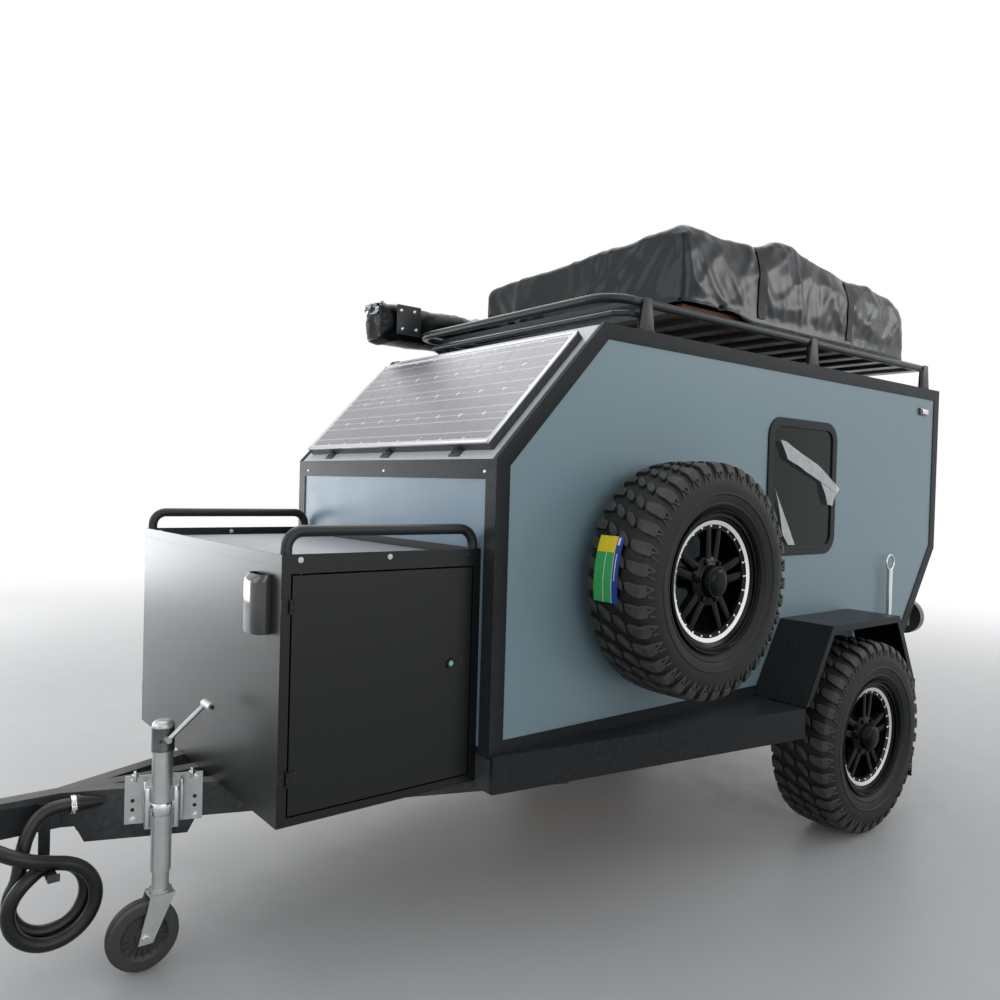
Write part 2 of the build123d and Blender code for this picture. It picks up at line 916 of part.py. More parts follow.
# Fenders: a bent sheet with a turned-down lip along its outer edge
fender_corners = [
    (front_x + fender_front, fender_foot_z),
    (front_x + fender_top_front, fender_top_z),
    (front_x + fender_top_rear, fender_top_z),
    (front_x + fender_rear, fender_foot_z),
]
with BuildPart() as fenders:
    for depth, start, reach in (
        (fender_sheet, rail_outer, fender_side - rail_outer),
        (fender_lip, fender_side - fender_sheet, fender_sheet),
    ):
        with BuildSketch(side_plane(-start)):
            Polygon(*fender_corners, align=None)
            fender_hole = Polygon(*fender_corners, align=None, mode=Mode.PRIVATE)
            offset(fender_hole, amount=-depth, kind=Kind.INTERSECTION, mode=Mode.SUBTRACT)
        extrude(amount=reach)
    block(
        (front_x + fender_front + fender_lip, -fender_side - 1, fender_foot_z - 1),
        (front_x + fender_rear - fender_lip - 6, -rail_outer + 1, fender_foot_z + fender_lip + 1),
        mode=Mode.SUBTRACT,
    )
    block(
        (front_x + fender_rear - flap, -fender_side, fender_foot_z - flap_hanger),
        (front_x + fender_rear, -rail_outer - fender_sheet, fender_foot_z + 2),
    )
    mirror(about=Plane.XZ)
save(fenders, "fenders")

# Tapering side steps from the body's front corner to the fender
step_end_x = front_x + fender_front
with BuildPart() as side_steps:
    with BuildSketch(Plane.XY.offset(rail_bottom_z)):
        Polygon(
            (front_x, -rail_outer),
            (front_x, -rail_outer - step_start),
            (step_end_x, -step_side),
            (step_end_x, -rail_outer),
            align=None,
        )
    extrude(amount=step_top_z - rail_bottom_z)
    mirror(about=Plane.XZ)
save(side_steps, "side_steps")

flap_x = front_x + fender_rear
with BuildPart() as mud_flaps:
    for side in (-1, 1):
        flap_y = side * (fender_side - flap_width / 2)
        block(
            (flap_x, flap_y - flap_width / 2, flap_foot_z),
            (flap_x + flap, flap_y + flap_width / 2, fender_foot_z),
        )
save(mud_flaps, "mud_flaps")

# Road wheels: tyre, rim and hub about an axis along Y
tread_half = tread_width / 2
tyre_half = tyre_width / 2
rim_half = rim_width / 2
face_y = rim_half - face_inset
bead_radius = rim_flange_radius + 2


def wheel_plane(x, y, z):
    """Plane through a wheel's axis: sketch X is the radius, sketch Y runs to +Y."""
    return Plane(origin=(x, y, z), x_dir=(0, 0, 1), z_dir=(-1, 0, 0))


# Flat faces of one pitch of the tread, whose outer corners lie on the tyre's radius
pitch_angle = 360 / lug_pitches
lug_reach = lug_length / 2
lug_top = (tyre_radius**2 - (lug_shift + lug_reach) ** 2) ** 0.5
carcass_top = lug_top - lug_height
lug_root = lug_height / 2
shoulder_end = carcass_top - shoulder_drop

# Half of the carcass in one pitch: distance from the tyre's middle, radius
carcass_half = [
    (tread_half, carcass_top),
    (tyre_half, carcass_top - 2 * shoulder_drop),
    (rim_half, bead_radius),
    (rim_half, rim_radius + fit_gap),
    (rim_half - tyre_wall, rim_radius + fit_gap),
    (tread_half - tyre_wall, carcass_top - tyre_wall),
]
# Shoulder lug, from the tread over the shoulder: distance from the middle, radius
shoulder_lug = [
    (lug_start, carcass_top - lug_root),
    (lug_start, lug_top),
    (tread_half + 1, lug_top - lug_root),
    (tread_half + 8, shoulder_end),
    (tread_half, shoulder_end),
    (tread_half - tyre_wall, carcass_top - lug_root),
]

with BuildPart() as tyre_pitch:
    with BuildSketch(Plane.YZ):
        Polygon(*carcass_half, *[(-across, out) for across, out in reversed(carcass_half)], align=None)
    extrude(amount=lug_length, both=True)
    wedge_half = tyre_radius * tan(radians(pitch_angle / 2))
    with BuildSketch(Plane.XZ):
        Polygon((0, 0), (wedge_half, tyre_radius), (-wedge_half, tyre_radius), align=None)
    extrude(amount=tyre_width, both=True, mode=Mode.INTERSECT)
    for side in (-1, 1):
        with BuildSketch(Plane.YZ.offset(side * lug_shift)):
            Polygon(*[(side * across, out) for across, out in shoulder_lug], align=None)
        extrude(amount=lug_reach, both=True)
        with BuildSketch(Plane.XY.offset(carcass_top - lug_root)):
            with Locations((-side * block_shift, side * lug_start / 2)):
                Rectangle(block_length, block_width, rotation=-block_lean)
        extrude(amount=lug_root + lug_height)

pitches = [
    tyre_pitch.part.rotate(Axis.Y, pitch_angle * (index + 0.5)) for index in range(lug_pitches)
]
tyre_shape = pitches[0].fuse(*pitches[1:]).clean()


def make_tyre(x, y, z):
    """Tyre with its lugs about a wheel's axis."""
    with BuildPart() as tyre:
        add(tyre_shape.moved(Location((x, y, z))))
    return tyre


def make_rim(x, y, z, side):
    """Rim with its barrel, spoked face and rings, face towards side."""
    with BuildPart() as rim:
        with BuildSketch(wheel_plane(x, y, z)):
            with BuildLine():
                Polyline(
                    (rim_flange_radius, side * (rim_half + 12)),
                    (rim_flange_radius, side * rim_half),
                    (rim_radius, side * rim_half),
                    (rim_radius, side * (rim_half - 30)),
                    (rim_radius - 26, side * (rim_half - 46)),
                    (rim_radius - 26, -side * (rim_half - 60)),
                    (rim_radius, -side * (rim_half - 34)),
                    (rim_radius, -side * rim_half),
                    (rim_flange_radius, -side * rim_half),
                    (rim_flange_radius, -side * (rim_half + 8)),
                    (rim_radius - rim_wall, -side * (rim_half + 8)),
                    (rim_radius - rim_wall, -side * (rim_half - 32)),
                    (rim_radius - 26 - rim_wall, -side * (rim_half - 58)),
                    (rim_radius - 26 - rim_wall, side * (rim_half - 44)),
                    (rim_radius - rim_wall - 20, side * (rim_half - 30)),
                    (rim_radius - rim_wall - 20, side * (rim_half - 8)),
                    (rim_radius - rim_wall + 4, side * (rim_half + 12)),
                    close=True,
                )
            make_face()
        revolve(axis=Axis((x, y, z), (0, 1, 0)))
        with BuildSketch(side_plane(y + side * face_y)):
            with Locations((x, z)):
                Circle(rim_radius - 26)
                Circle(cap_radius - 4, mode=Mode.SUBTRACT)
                with PolarLocations(130, spoke_count, start_angle=90 - 36):
                    Trapezoid(118, 84, 68, rotation=90, mode=Mode.SUBTRACT)
                with PolarLocations(128, spoke_count, start_angle=90):
                    SlotOverall(84, 18, mode=Mode.SUBTRACT)
        extrude(amount=-side * face_depth)
    return rim


spindle_y = wheel_y - rim_half


def make_hub(x, y, z, side):
    """Hub with its drum, stud circle and domed cap, on the spindle."""
    with BuildPart() as hub:
        with BuildSketch(wheel_plane(x, y, z)):
            with BuildLine():
                Polyline(
                    (spindle_radius + pin_gap, -side * 70),
                    (127, -side * 70),
                    (127, -side * 12),
                    (hub_radius, -side * 12),
                    (hub_radius, side * face_y),
                    (cap_radius - 5, side * face_y),
                    (cap_radius - 5, side * (face_y + face_depth)),
                    (cap_radius - 20, side * (face_y + cap_depth)),
                    (0, side * (face_y + cap_depth)),
                    (0, side * (face_y + 6)),
                    (spindle_radius + pin_gap, side * (face_y + 6)),
                    close=True,
                )
            make_face()
        revolve(axis=Axis((x, y, z), (0, 1, 0)))
    return hub


for name, side in (("left", -1), ("right", 1)):
    save(make_tyre(wheel_x, side * wheel_y, tyre_radius), f"tyre_{name}")
    save(make_rim(wheel_x, side * wheel_y, tyre_radius, side), f"rim_{name}")
    save(make_hub(wheel_x, side * wheel_y, tyre_radius, side), f"hub_{name}")
save(make_tyre(spare_x, spare_y, spare_z), "spare_tyre")
save(make_rim(spare_x, spare_y, spare_z, -1), "spare_rim")

# Spare carrier: a plate on the side wall, a stub and a hub plate behind the rim
carrier_face_y = spare_y - face_y
carrier_plate = 110
with BuildPart() as spare_carrier:
    block(
        (spare_x - carrier_plate, -half - 8, spare_z - carrier_plate),
        (spare_x + carrier_plate, -half, spare_z + carrier_plate),
    )
    bar((spare_x, -half, spare_z), (spare_x, carrier_face_y, spare_z), 38)
    bar((spare_x, carrier_face_y + 10, spare_z), (spare_x, carrier_face_y, spare_z), hub_radius)
    bar(
        (spare_x, carrier_face_y, spare_z),
        (spare_x, carrier_face_y - cap_depth, spare_z),
        cap_radius - 5,
    )
save(spare_carrier, "spare_carrier")

# Axle beam with its spindles
with BuildPart() as axle:
    block(
        (wheel_x - axle_side / 2, -spindle_y + 20, tyre_radius - axle_side / 2),
        (wheel_x + axle_side / 2, spindle_y - 20, tyre_radius + axle_side / 2),
    )
    for side in (-1, 1):
        bar(
            (wheel_x, side * (spindle_y - 21), tyre_radius),
            (wheel_x, side * (wheel_y + face_y), tyre_radius),
            spindle_radius,
        )
save(axle, "axle")

# Leaf springs under the axle, in hangers below the rails
spring_y = rail_outer - rail_width / 2
seat_top = tyre_radius - axle_side / 2
spring_top = seat_top - spring_seat
hanger_z = spring_top + spring_rise - spring_leaf / 2
leaf_table = [
    # half length of the leaf, its place down the pack
    (spring_span / 2, 0),
    (spring_span / 2 * 0.78, 1),
    (spring_span / 2 * 0.56, 2),
    (spring_span / 2 * 0.34, 3),
]
spring_radius = ((spring_span / 2) ** 2 + spring_rise**2) / (2 * spring_rise)


def leaf_height(reach):
    """Height of the curved leaf above its middle at a distance from it."""
    return spring_radius - (spring_radius**2 - reach**2) ** 0.5


with BuildPart() as leaf_springs:
    for reach, place in leaf_table:
        drop = -place * spring_leaf
        with BuildSketch(side_plane(-spring_y + spring_width / 2 - 2)):
            with BuildLine():
                ThreePointArc(
                    (wheel_x - reach, spring_top + drop + leaf_height(reach)),
                    (wheel_x, spring_top + drop),
                    (wheel_x + reach, spring_top + drop + leaf_height(reach)),
                )
                Line(
                    (wheel_x + reach, spring_top + drop + leaf_height(reach)),
                    (wheel_x + reach, spring_top + drop + leaf_height(reach) - spring_leaf),
                )
                ThreePointArc(
                    (wheel_x + reach, spring_top + drop + leaf_height(reach) - spring_leaf),
                    (wheel_x, spring_top + drop - spring_leaf),
                    (wheel_x - reach, spring_top + drop + leaf_height(reach) - spring_leaf),
                )
                Line(
                    (wheel_x - reach, spring_top + drop + leaf_height(reach) - spring_leaf),
                    (wheel_x - reach, spring_top + drop + leaf_height(reach)),
                )
            make_face()
        extrude(amount=spring_width - 4)
    for side in (-1, 1):
        eye_x = wheel_x + side * spring_span / 2
        bar(
            (eye_x, -spring_y - spring_width / 2, hanger_z),
            (eye_x, -spring_y + spring_width / 2, hanger_z),
            16,
        )
        for cheek in (-1, 1):
            cheek_y = -spring_y + cheek * (spring_width / 2 - 2)
            block(
                (eye_x - 26, cheek_y - 3, hanger_z - 22),
                (eye_x + 26, cheek_y + 3, rail_bottom_z),
            )
    for foot_z, depth in ((spring_top - 3, spring_seat + 3), (spring_top - 4 * spring_leaf - 8, 12)):
        block(
            (wheel_x - 50, -spring_y - spring_width / 2 + 2, foot_z),
            (wheel_x + 50, -spring_y + spring_width / 2 - 2, foot_z + depth),
        )
    mirror(about=Plane.XZ)
save(leaf_springs, "leaf_springs")

# Roof rack: a tube loop on posts, and slats across it
rack_x0 = front_x + rack_front
rack_x1 = front_x + rack_rear
with BuildPart() as roof_rack:
    with BuildLine() as rack_path:
        FilletPolyline(
            (rack_x1, -rack_half, rack_z),
            (rack_x0, -rack_half, rack_z),
            (rack_x0, rack_half, rack_z),
            (rack_x1, rack_half, rack_z),
            radius=rack_bend,
        )
    with BuildSketch(Plane(origin=rack_path.line @ 0, z_dir=rack_path.line % 0)):
        Circle(rack_tube / 2)
    sweep(path=rack_path.line)
    for place in post_places:
        for side in (-1, 1):
            with BuildSketch(side_plane(side * rack_half + post_depth / 2)):
                Polygon(
                    (front_x + place - post_width / 2, roof_z),
                    (front_x + place + post_width / 2, roof_z),
                    (front_x + place + post_width / 3, rack_z + rack_tube / 4),
                    (front_x + place - post_width / 3, rack_z + rack_tube / 4),
                    align=None,
                )
            extrude(amount=post_depth)
            block(
                (front_x + place - post_foot, side * rack_half - 10, roof_z),
                (front_x + place + post_foot, side * rack_half + 10, roof_z + 4),
            )
    for place in arm_places:
        block(
            (front_x + place - 20, rack_half, bag_z - bag_height / 2),
            (front_x + place + 20, bag_y - bag_width / 2, rack_z + 60),
        )
save(roof_rack, "roof_rack")

slat_top_z = rack_z + slat_depth / 2
slat_step = (slat_rear - post_places[0]) / (slat_count - 1)
with BuildPart() as rack_slats:
    for index in range(slat_count):
        slat_x = front_x + post_places[0] + index * slat_step
        block(
            (slat_x - slat_width / 2, -rack_half + rack_tube / 2, slat_top_z - slat_depth),
            (slat_x + slat_width / 2, rack_half - rack_tube / 2, slat_top_z),
        )
save(rack_slats, "rack_slats")

# Folded roof tent: a base board on the slats and a soft cover over it
tent_x0 = front_x + tent_front
tent_x1 = front_x + tent_rear
with BuildPart() as tent_board:
    block(
        (tent_x0 + 20, -tent_half + 20, slat_top_z),
        (tent_x1 - 20, tent_half - 20, tent_foot_z),
    )
save(tent_board, "tent_board")

with BuildPart() as roof_tent:
    with BuildSketch(side_plane(tent_half)):
        Polygon(
            (tent_x0, tent_foot_z),
            (tent_x0, tent_top_z - 50),
            (tent_x0 + 70, tent_top_z),
            (tent_x0 + hump_places[0], tent_top_z),
            (tent_x0 + hump_places[1], tent_hump_z),
            (tent_x0 + hump_places[2], tent_hump_z),
            (tent_x0 + hump_places[3], tent_top_z),
            (tent_x1 - 70, tent_top_z - 15),
            (tent_x1, tent_top_z - 60),
            (tent_x1, tent_foot_z),
            align=None,
        )
    extrude(amount=2 * tent_half)
save(roof_tent, "roof_tent")

# Rolled awning in its bag, on the arms along the right side of the rack
with BuildPart() as awning_bag:
    with BuildSketch(Plane.YZ.offset(front_x + bag_front)):
        with Locations((bag_y, bag_z)):
            RectangleRounded(bag_width, bag_height, bag_width / 2 - 6)
    extrude(amount=bag_rear - bag_front)
save(awning_bag, "awning_bag")

# Jockey wheel: bracket on the left drawbar rail, tube, sliding leg, fork and wheel
a_cos = cos(radians(a_angle))
a_sin = sin(radians(a_angle))
rail_face = Plane(
    origin=(jockey_x, -a_rail_y(jockey_x), bracket_z),
    x_dir=(a_cos, -a_sin, 0),
    z_dir=(-a_sin, -a_cos, 0),
)
# The tube's axis in the bracket's own plane: along the rail, and out from it
tube_offset = Vector(jockey_x, jockey_y, bracket_z) - rail_face.origin
tube_along = tube_offset.dot(rail_face.x_dir)
tube_out = tube_offset.dot(rail_face.z_dir)
with BuildPart() as jockey_bracket:
    with BuildSketch(rail_face):
        with Locations((tube_along, 0)):
            Rectangle(bracket_width, bracket_height)
    extrude(amount=6)
    with BuildSketch(rail_face):
        with Locations((tube_along, 0)):
            Rectangle(jockey_tube + 34, bracket_height - 20)
    extrude(amount=tube_out)
    bar(
        (jockey_x, jockey_y, bracket_z - bracket_height),
        (jockey_x, jockey_y, bracket_z + bracket_height),
        jockey_tube / 2 + fit_gap,
        mode=Mode.SUBTRACT,
    )
save(jockey_bracket, "jockey_bracket")

jockey_radius = jockey_tube / 2
jockey_bore = jockey_radius - jockey_wall
cap_side = jockey_radius + 3
with BuildPart() as jockey_outer:
    with BuildSketch(Plane(origin=(jockey_x, jockey_y, 0), x_dir=(1, 0, 0), z_dir=(0, -1, 0))):
        with BuildLine():
            Polyline(
                (jockey_bore, jockey_foot_z),
                (jockey_radius, jockey_foot_z),
                (jockey_radius, jockey_top_z - 92),
                (cap_side, jockey_top_z - 92),
                (cap_side, jockey_top_z - 18),
            )
            ThreePointArc(
                (cap_side, jockey_top_z - 18),
                (cap_side - 5.5, jockey_top_z - 5),
                (cap_side - 18, jockey_top_z),
            )
            Polyline(
                (cap_side - 18, jockey_top_z),
                (0, jockey_top_z),
                (0, jockey_bore_top),
                (jockey_bore, jockey_bore_top),
                (jockey_bore, jockey_foot_z),
            )
        make_face()
    revolve(axis=Axis((jockey_x, jockey_y, 0), (0, 0, 1)))
    bar(
        (jockey_x, jockey_y - jockey_radius, crank_z),
        (jockey_x, jockey_y - crank_side - 10, crank_z),
        8,
    )
    bar(
        (jockey_x, jockey_y - crank_side, crank_z),
        (jockey_x + crank_run, jockey_y - crank_side, crank_z + crank_rise),
        7,
    )
    bar(
        (jockey_x + crank_run, jockey_y - crank_side + 10, crank_z + crank_rise),
        (jockey_x + crank_run, jockey_y - crank_side - 52, crank_z + crank_rise),
        13,
    )
save(jockey_outer, "jockey_tube")

fork_top_z = 2 * jockey_wheel_radius + 14
with BuildPart() as jockey_leg:
    bar((jockey_x, jockey_y, fork_top_z + 8), (jockey_x, jockey_y, leg_top_z), leg_tube / 2)
    bar((jockey_x, jockey_y, fork_top_z + 0.5), (jockey_x, jockey_y, fork_top_z + 8), leg_tube / 2 + 8)
save(jockey_leg, "jockey_leg")

wheel_axle_x = jockey_x - jockey_trail
with BuildPart() as jockey_fork:
    block(
        (jockey_x - 34, jockey_y - fork_width / 2, fork_top_z - 6),
        (jockey_x + 34, jockey_y + fork_width / 2, fork_top_z),
    )
    for side in (-1, 1):
        with BuildSketch(side_plane(jockey_y + side * (fork_width / 2 - fork_plate / 2) + fork_plate / 2)):
            Polygon(
                (jockey_x - 34, fork_top_z),
                (jockey_x + 34, fork_top_z),
                (wheel_axle_x + 20, jockey_wheel_radius - 16),
                (wheel_axle_x - 20, jockey_wheel_radius - 16),
                align=None,
            )
        extrude(amount=fork_plate)
    bar(
        (wheel_axle_x, jockey_y - fork_width / 2 - 6, jockey_wheel_radius),
        (wheel_axle_x, jockey_y + fork_width / 2 + 6, jockey_wheel_radius),
        8,
    )
save(jockey_fork, "jockey_fork")

with BuildPart() as jockey_wheel:
    with BuildSketch(wheel_plane(wheel_axle_x, jockey_y, jockey_wheel_radius)):
        with Locations(((jockey_wheel_radius + 8 + pin_gap) / 2, 0)):
            Rectangle(jockey_wheel_radius - 8 - pin_gap, jockey_wheel_width)
        fillet(vertices().group_by(Axis.Z)[-1], radius=16)
    revolve(axis=Axis((wheel_axle_x, jockey_y, jockey_wheel_radius), (0, 1, 0)))
save(jockey_wheel, "jockey_wheel")

# Rear drop legs: a tube with a loop on top and a foot below, in its sleeve
for name, side in (("left", -1), ("right", 1)):
    y = side * drop_y
    with BuildPart() as drop_leg:
        bar((drop_x, y, drop_foot_z), (drop_x, y, drop_top_z), drop_tube / 2)
        bar((drop_x, y, drop_foot_z - 8), (drop_x, y, drop_foot_z), 32)
        with Locations(Location((drop_x, y, drop_top_z + drop_loop - 6), (90, 0, 0))):
            Torus(drop_loop - drop_wire / 2, drop_wire / 2)
    save(drop_leg, f"drop_leg_{name}")

# Tail lamps on stalks below the tail edge
tail_lamp_setback = 144
tail_lamp_x = rear_x - tail_lamp_setback
tail_lamp_z = 795
tail_lamp_radius = 88
tail_lamp_margin = 60
tail_lamp_arm = 150
with BuildPart() as tail_lamps:
    for side in (-1, 1):
        y = side * (half - tail_lamp_margin)
        bar((tail_lamp_x - 25, y, tail_lamp_z), (tail_lamp_x + 15, y, tail_lamp_z), tail_lamp_radius)
        bar((tail_lamp_x - tail_lamp_arm, y, tail_lamp_z), (tail_lamp_x - 25, y, tail_lamp_z), 22)
    with BuildSketch(side_plane(half)):
        body_outline()
    extrude(amount=body_width, mode=Mode.SUBTRACT)
save(tail_lamps, "tail_lamps")

# Wiring in its conduit: it leaves the left drawbar rail, hangs coiled from a
# hook on the beam and ends in its plug, parked in a holder near the nose
conduit_radius = conduit / 2


def ahead(place):
    """Point from its distance ahead of the body's front, its Y and its Z."""
    distance, y, z = place
    return Vector(front_x - distance, y, z)


with BuildPart() as conduit_gland:
    for start, end, foot_radius, head_radius in gland_table:
        gland_foot = ahead(start)
        gland_line = ahead(end) - gland_foot
        with Locations(Plane(origin=gland_foot, z_dir=gland_line)):
            Cone(
                foot_radius,
                head_radius,
                gland_line.length,
                align=(Align.CENTER, Align.CENTER, Align.MIN),
            )
    add(drawbar_rails.part, mode=Mode.SUBTRACT)
save(conduit_gland, "conduit_gland")

with BuildPart() as conduit_coil:
    with BuildSketch(wheel_plane(coil_x, coil_y, coil_z)):
        with Locations(((coil_radius + coil_inner) / 2, 0)):
            RectangleRounded(coil_radius - coil_inner, 2 * conduit, conduit_radius - 1)
    revolve(axis=Axis((coil_x, coil_y, coil_z), (0, 1, 0)))
save(conduit_coil, "conduit_coil")

plug_tail_x = plug_x + plug_length - 44
with BuildPart() as conduit_plug:
    bar((plug_x - 44, plug_y, plug_z), (plug_tail_x, plug_y, plug_z), plug_radius)
    bar((plug_x + 4, plug_y, plug_z), (plug_x + 14, plug_y, plug_z), plug_radius + 5)
save(conduit_plug, "conduit_plug")


def route_radii(points):
    """Arc radius at each inner corner of a route, as large as its runs allow."""
    radii = []
    for before, corner, after in zip(points, points[1:], points[2:]):
        run_in = corner - before
        run_out = after - corner
        half_turn = radians(run_in.get_angle(run_out)) / 2
        radii.append(0.45 * min(run_in.length, run_out.length) / tan(half_turn))
    return radii


for name, places in (("feed", feed_route), ("tail", tail_route)):
    points = [ahead(place) for place in places]
    radii = route_radii(points)
    with BuildPart() as conduit_tube:
        with BuildLine() as route:
            FilletPolyline(*points, radius=radii)
        with BuildSketch(Plane(origin=route.line @ 0, z_dir=route.line % 0)):
            Circle(conduit_radius)
        sweep(path=route.line)
        add(conduit_coil.part, mode=Mode.SUBTRACT)
    save(conduit_tube, f"conduit_{name}")
    route_length = sum(edge.length for edge in route.line.edges())
    section_volume = pi * conduit_radius**2 * route_length
    print(f"conduit_{name} arc radii", [round(r) for r in radii])
    print("  length", round(route_length), "outside the coil", conduit_tube.part.volume / section_volume)
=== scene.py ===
"""Looks of the teardrop camper trailer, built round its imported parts.

Metres. +X points to the tail, the left side is -Y and +Z is up.
"""

import json
from math import copysign, cos, pi, radians, sin, tau

import bmesh
import bpy
from mathutils import Matrix, Vector, noise
from mathutils.bvhtree import BVHTree


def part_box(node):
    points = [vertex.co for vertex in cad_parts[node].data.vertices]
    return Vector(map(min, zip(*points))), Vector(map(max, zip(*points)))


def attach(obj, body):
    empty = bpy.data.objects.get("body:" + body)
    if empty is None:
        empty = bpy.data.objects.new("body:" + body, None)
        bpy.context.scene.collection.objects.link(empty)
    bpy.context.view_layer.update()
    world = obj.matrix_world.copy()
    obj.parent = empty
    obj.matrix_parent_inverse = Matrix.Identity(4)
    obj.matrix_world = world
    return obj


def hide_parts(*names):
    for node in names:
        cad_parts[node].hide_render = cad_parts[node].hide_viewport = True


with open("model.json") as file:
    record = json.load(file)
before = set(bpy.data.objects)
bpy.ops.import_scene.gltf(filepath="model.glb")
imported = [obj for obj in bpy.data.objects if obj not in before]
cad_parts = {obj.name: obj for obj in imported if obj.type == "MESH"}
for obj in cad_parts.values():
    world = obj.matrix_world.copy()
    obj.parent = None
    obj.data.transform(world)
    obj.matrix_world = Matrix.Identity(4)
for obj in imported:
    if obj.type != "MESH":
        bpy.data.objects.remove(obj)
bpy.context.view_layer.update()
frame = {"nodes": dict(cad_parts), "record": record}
nodes = frame["nodes"]

# Camera, level with the roof's underside and off the trailer's front left corner
camera_place = (-2.1875, -2.6509, 1.4106)
camera_right = Vector((0.78061, -0.62439, 0.02803))
camera_up = Vector((-0.01125, 0.03081, 0.99946))
camera_back = Vector((-0.62492, -0.78051, 0.01702))
camera_data = bpy.data.cameras.new("camera")
camera_data.sensor_width = 36
camera_data.lens = 29.82
camera_data.clip_end = 200
camera = bpy.data.objects.new("camera", camera_data)
camera_turn = Matrix((camera_right, camera_up, camera_back)).transposed()
camera.matrix_world = Matrix.Translation(camera_place) @ camera_turn.to_4x4()
bpy.context.scene.collection.objects.link(camera)
bpy.context.scene.camera = camera


# ---- Finishes


def new_group(name, inputs, outputs):
    """Empty node group with its sockets, and its two end nodes."""
    tree = bpy.data.node_groups.new(name, "ShaderNodeTree")
    for label, kind, value in inputs:
        socket = tree.interface.new_socket(name=label, in_out="INPUT", socket_type=kind)
        socket.default_value = value
    for label, kind in outputs:
        tree.interface.new_socket(name=label, in_out="OUTPUT", socket_type=kind)
    return tree, tree.nodes.new("NodeGroupInput"), tree.nodes.new("NodeGroupOutput")


def node(tree, kind, **settings):
    """New node with its properties, and its inputs by number under the key values."""
    made = tree.nodes.new(kind)
    values = settings.pop("values", {})
    for key, value in settings.items():
        setattr(made, key, value)
    for key, value in values.items():
        made.inputs[key].default_value = value
    return made


NUMBER = "NodeSocketFloat"
TINT = "NodeSocketColor"


def finish_group():
    """Uneven colour, smudged gloss, settled dust and a fine grain."""
    tree, given, result = new_group(
        "finish",
        [
            ("Color", TINT, (0.5, 0.5, 0.5, 1)),
            ("Dust Color", TINT, (0.5, 0.48, 0.45, 1)),
            ("Roughness", NUMBER, 0.5),
            ("Mottle", NUMBER, 0.08),
            ("Mottle Size", NUMBER, 3.0),
            ("Smudge", NUMBER, 0.08),
            ("Dust", NUMBER, 0.1),
            ("Grain Size", NUMBER, 700.0),
        ],
        [("Color", TINT), ("Roughness", NUMBER), ("Height", NUMBER)],
    )
    link = tree.links.new
    place = node(tree, "ShaderNodeTexCoord")
    patches = node(tree, "ShaderNodeTexNoise", values={"Detail": 3.0, "Roughness": 0.6})
    link(place.outputs["Object"], patches.inputs["Vector"])
    link(given.outputs["Mottle Size"], patches.inputs["Scale"])
    centred = node(tree, "ShaderNodeMath", operation="SUBTRACT", values={1: 0.5})
    link(patches.outputs["Fac"], centred.inputs[0])
    swing = node(tree, "ShaderNodeMath", operation="MULTIPLY_ADD", values={2: 1.0})
    twice = node(tree, "ShaderNodeMath", operation="MULTIPLY", values={1: 2.0})
    link(given.outputs["Mottle"], twice.inputs[0])
    link(centred.outputs[0], swing.inputs[0])
    link(twice.outputs[0], swing.inputs[1])
    shade = node(tree, "ShaderNodeHueSaturation")
    link(given.outputs["Color"], shade.inputs["Color"])
    link(swing.outputs[0], shade.inputs["Value"])
    smears = node(
        tree, "ShaderNodeTexNoise", values={"Scale": 9.0, "Detail": 4.0, "Distortion": 1.2}
    )
    link(place.outputs["Object"], smears.inputs["Vector"])
    smear = node(tree, "ShaderNodeMath", operation="SUBTRACT", values={1: 0.5})
    link(smears.outputs["Fac"], smear.inputs[0])
    gloss = node(tree, "ShaderNodeMath", operation="MULTIPLY_ADD")
    link(smear.outputs[0], gloss.inputs[0])
    link(given.outputs["Smudge"], gloss.inputs[1])
    link(given.outputs["Roughness"], gloss.inputs[2])
    facing = node(tree, "ShaderNodeNewGeometry")
    split = node(tree, "ShaderNodeSeparateXYZ")
    link(facing.outputs["Normal"], split.inputs[0])
    upward = node(tree, "ShaderNodeMapRange", values={"From Min": 0.25, "From Max": 0.95})
    link(split.outputs["Z"], upward.inputs["Value"])
    settled = node(
        tree, "ShaderNodeTexNoise", values={"Scale": 14.0, "Detail": 6.0, "Roughness": 0.7}
    )
    link(place.outputs["Object"], settled.inputs["Vector"])
    lying = node(tree, "ShaderNodeMath", operation="MULTIPLY")
    link(upward.outputs[0], lying.inputs[0])
    link(settled.outputs["Fac"], lying.inputs[1])
    dust = node(tree, "ShaderNodeMath", operation="MULTIPLY", use_clamp=True)
    link(lying.outputs[0], dust.inputs[0])
    link(given.outputs["Dust"], dust.inputs[1])
    tint = node(tree, "ShaderNodeMix", data_type="RGBA")
    link(dust.outputs[0], tint.inputs[0])
    link(shade.outputs["Color"], tint.inputs[6])
    link(given.outputs["Dust Color"], tint.inputs[7])
    link(tint.outputs[2], result.inputs["Color"])
    dull = node(tree, "ShaderNodeMath", operation="MULTIPLY_ADD", values={1: 0.35}, use_clamp=True)
    link(dust.outputs[0], dull.inputs[0])
    link(gloss.outputs[0], dull.inputs[2])
    link(dull.outputs[0], result.inputs["Roughness"])
    grain = node(tree, "ShaderNodeTexNoise", values={"Detail": 2.0})
    link(place.outputs["Object"], grain.inputs["Vector"])
    link(given.outputs["Grain Size"], grain.inputs["Scale"])
    link(grain.outputs["Fac"], result.inputs["Height"])
    return tree


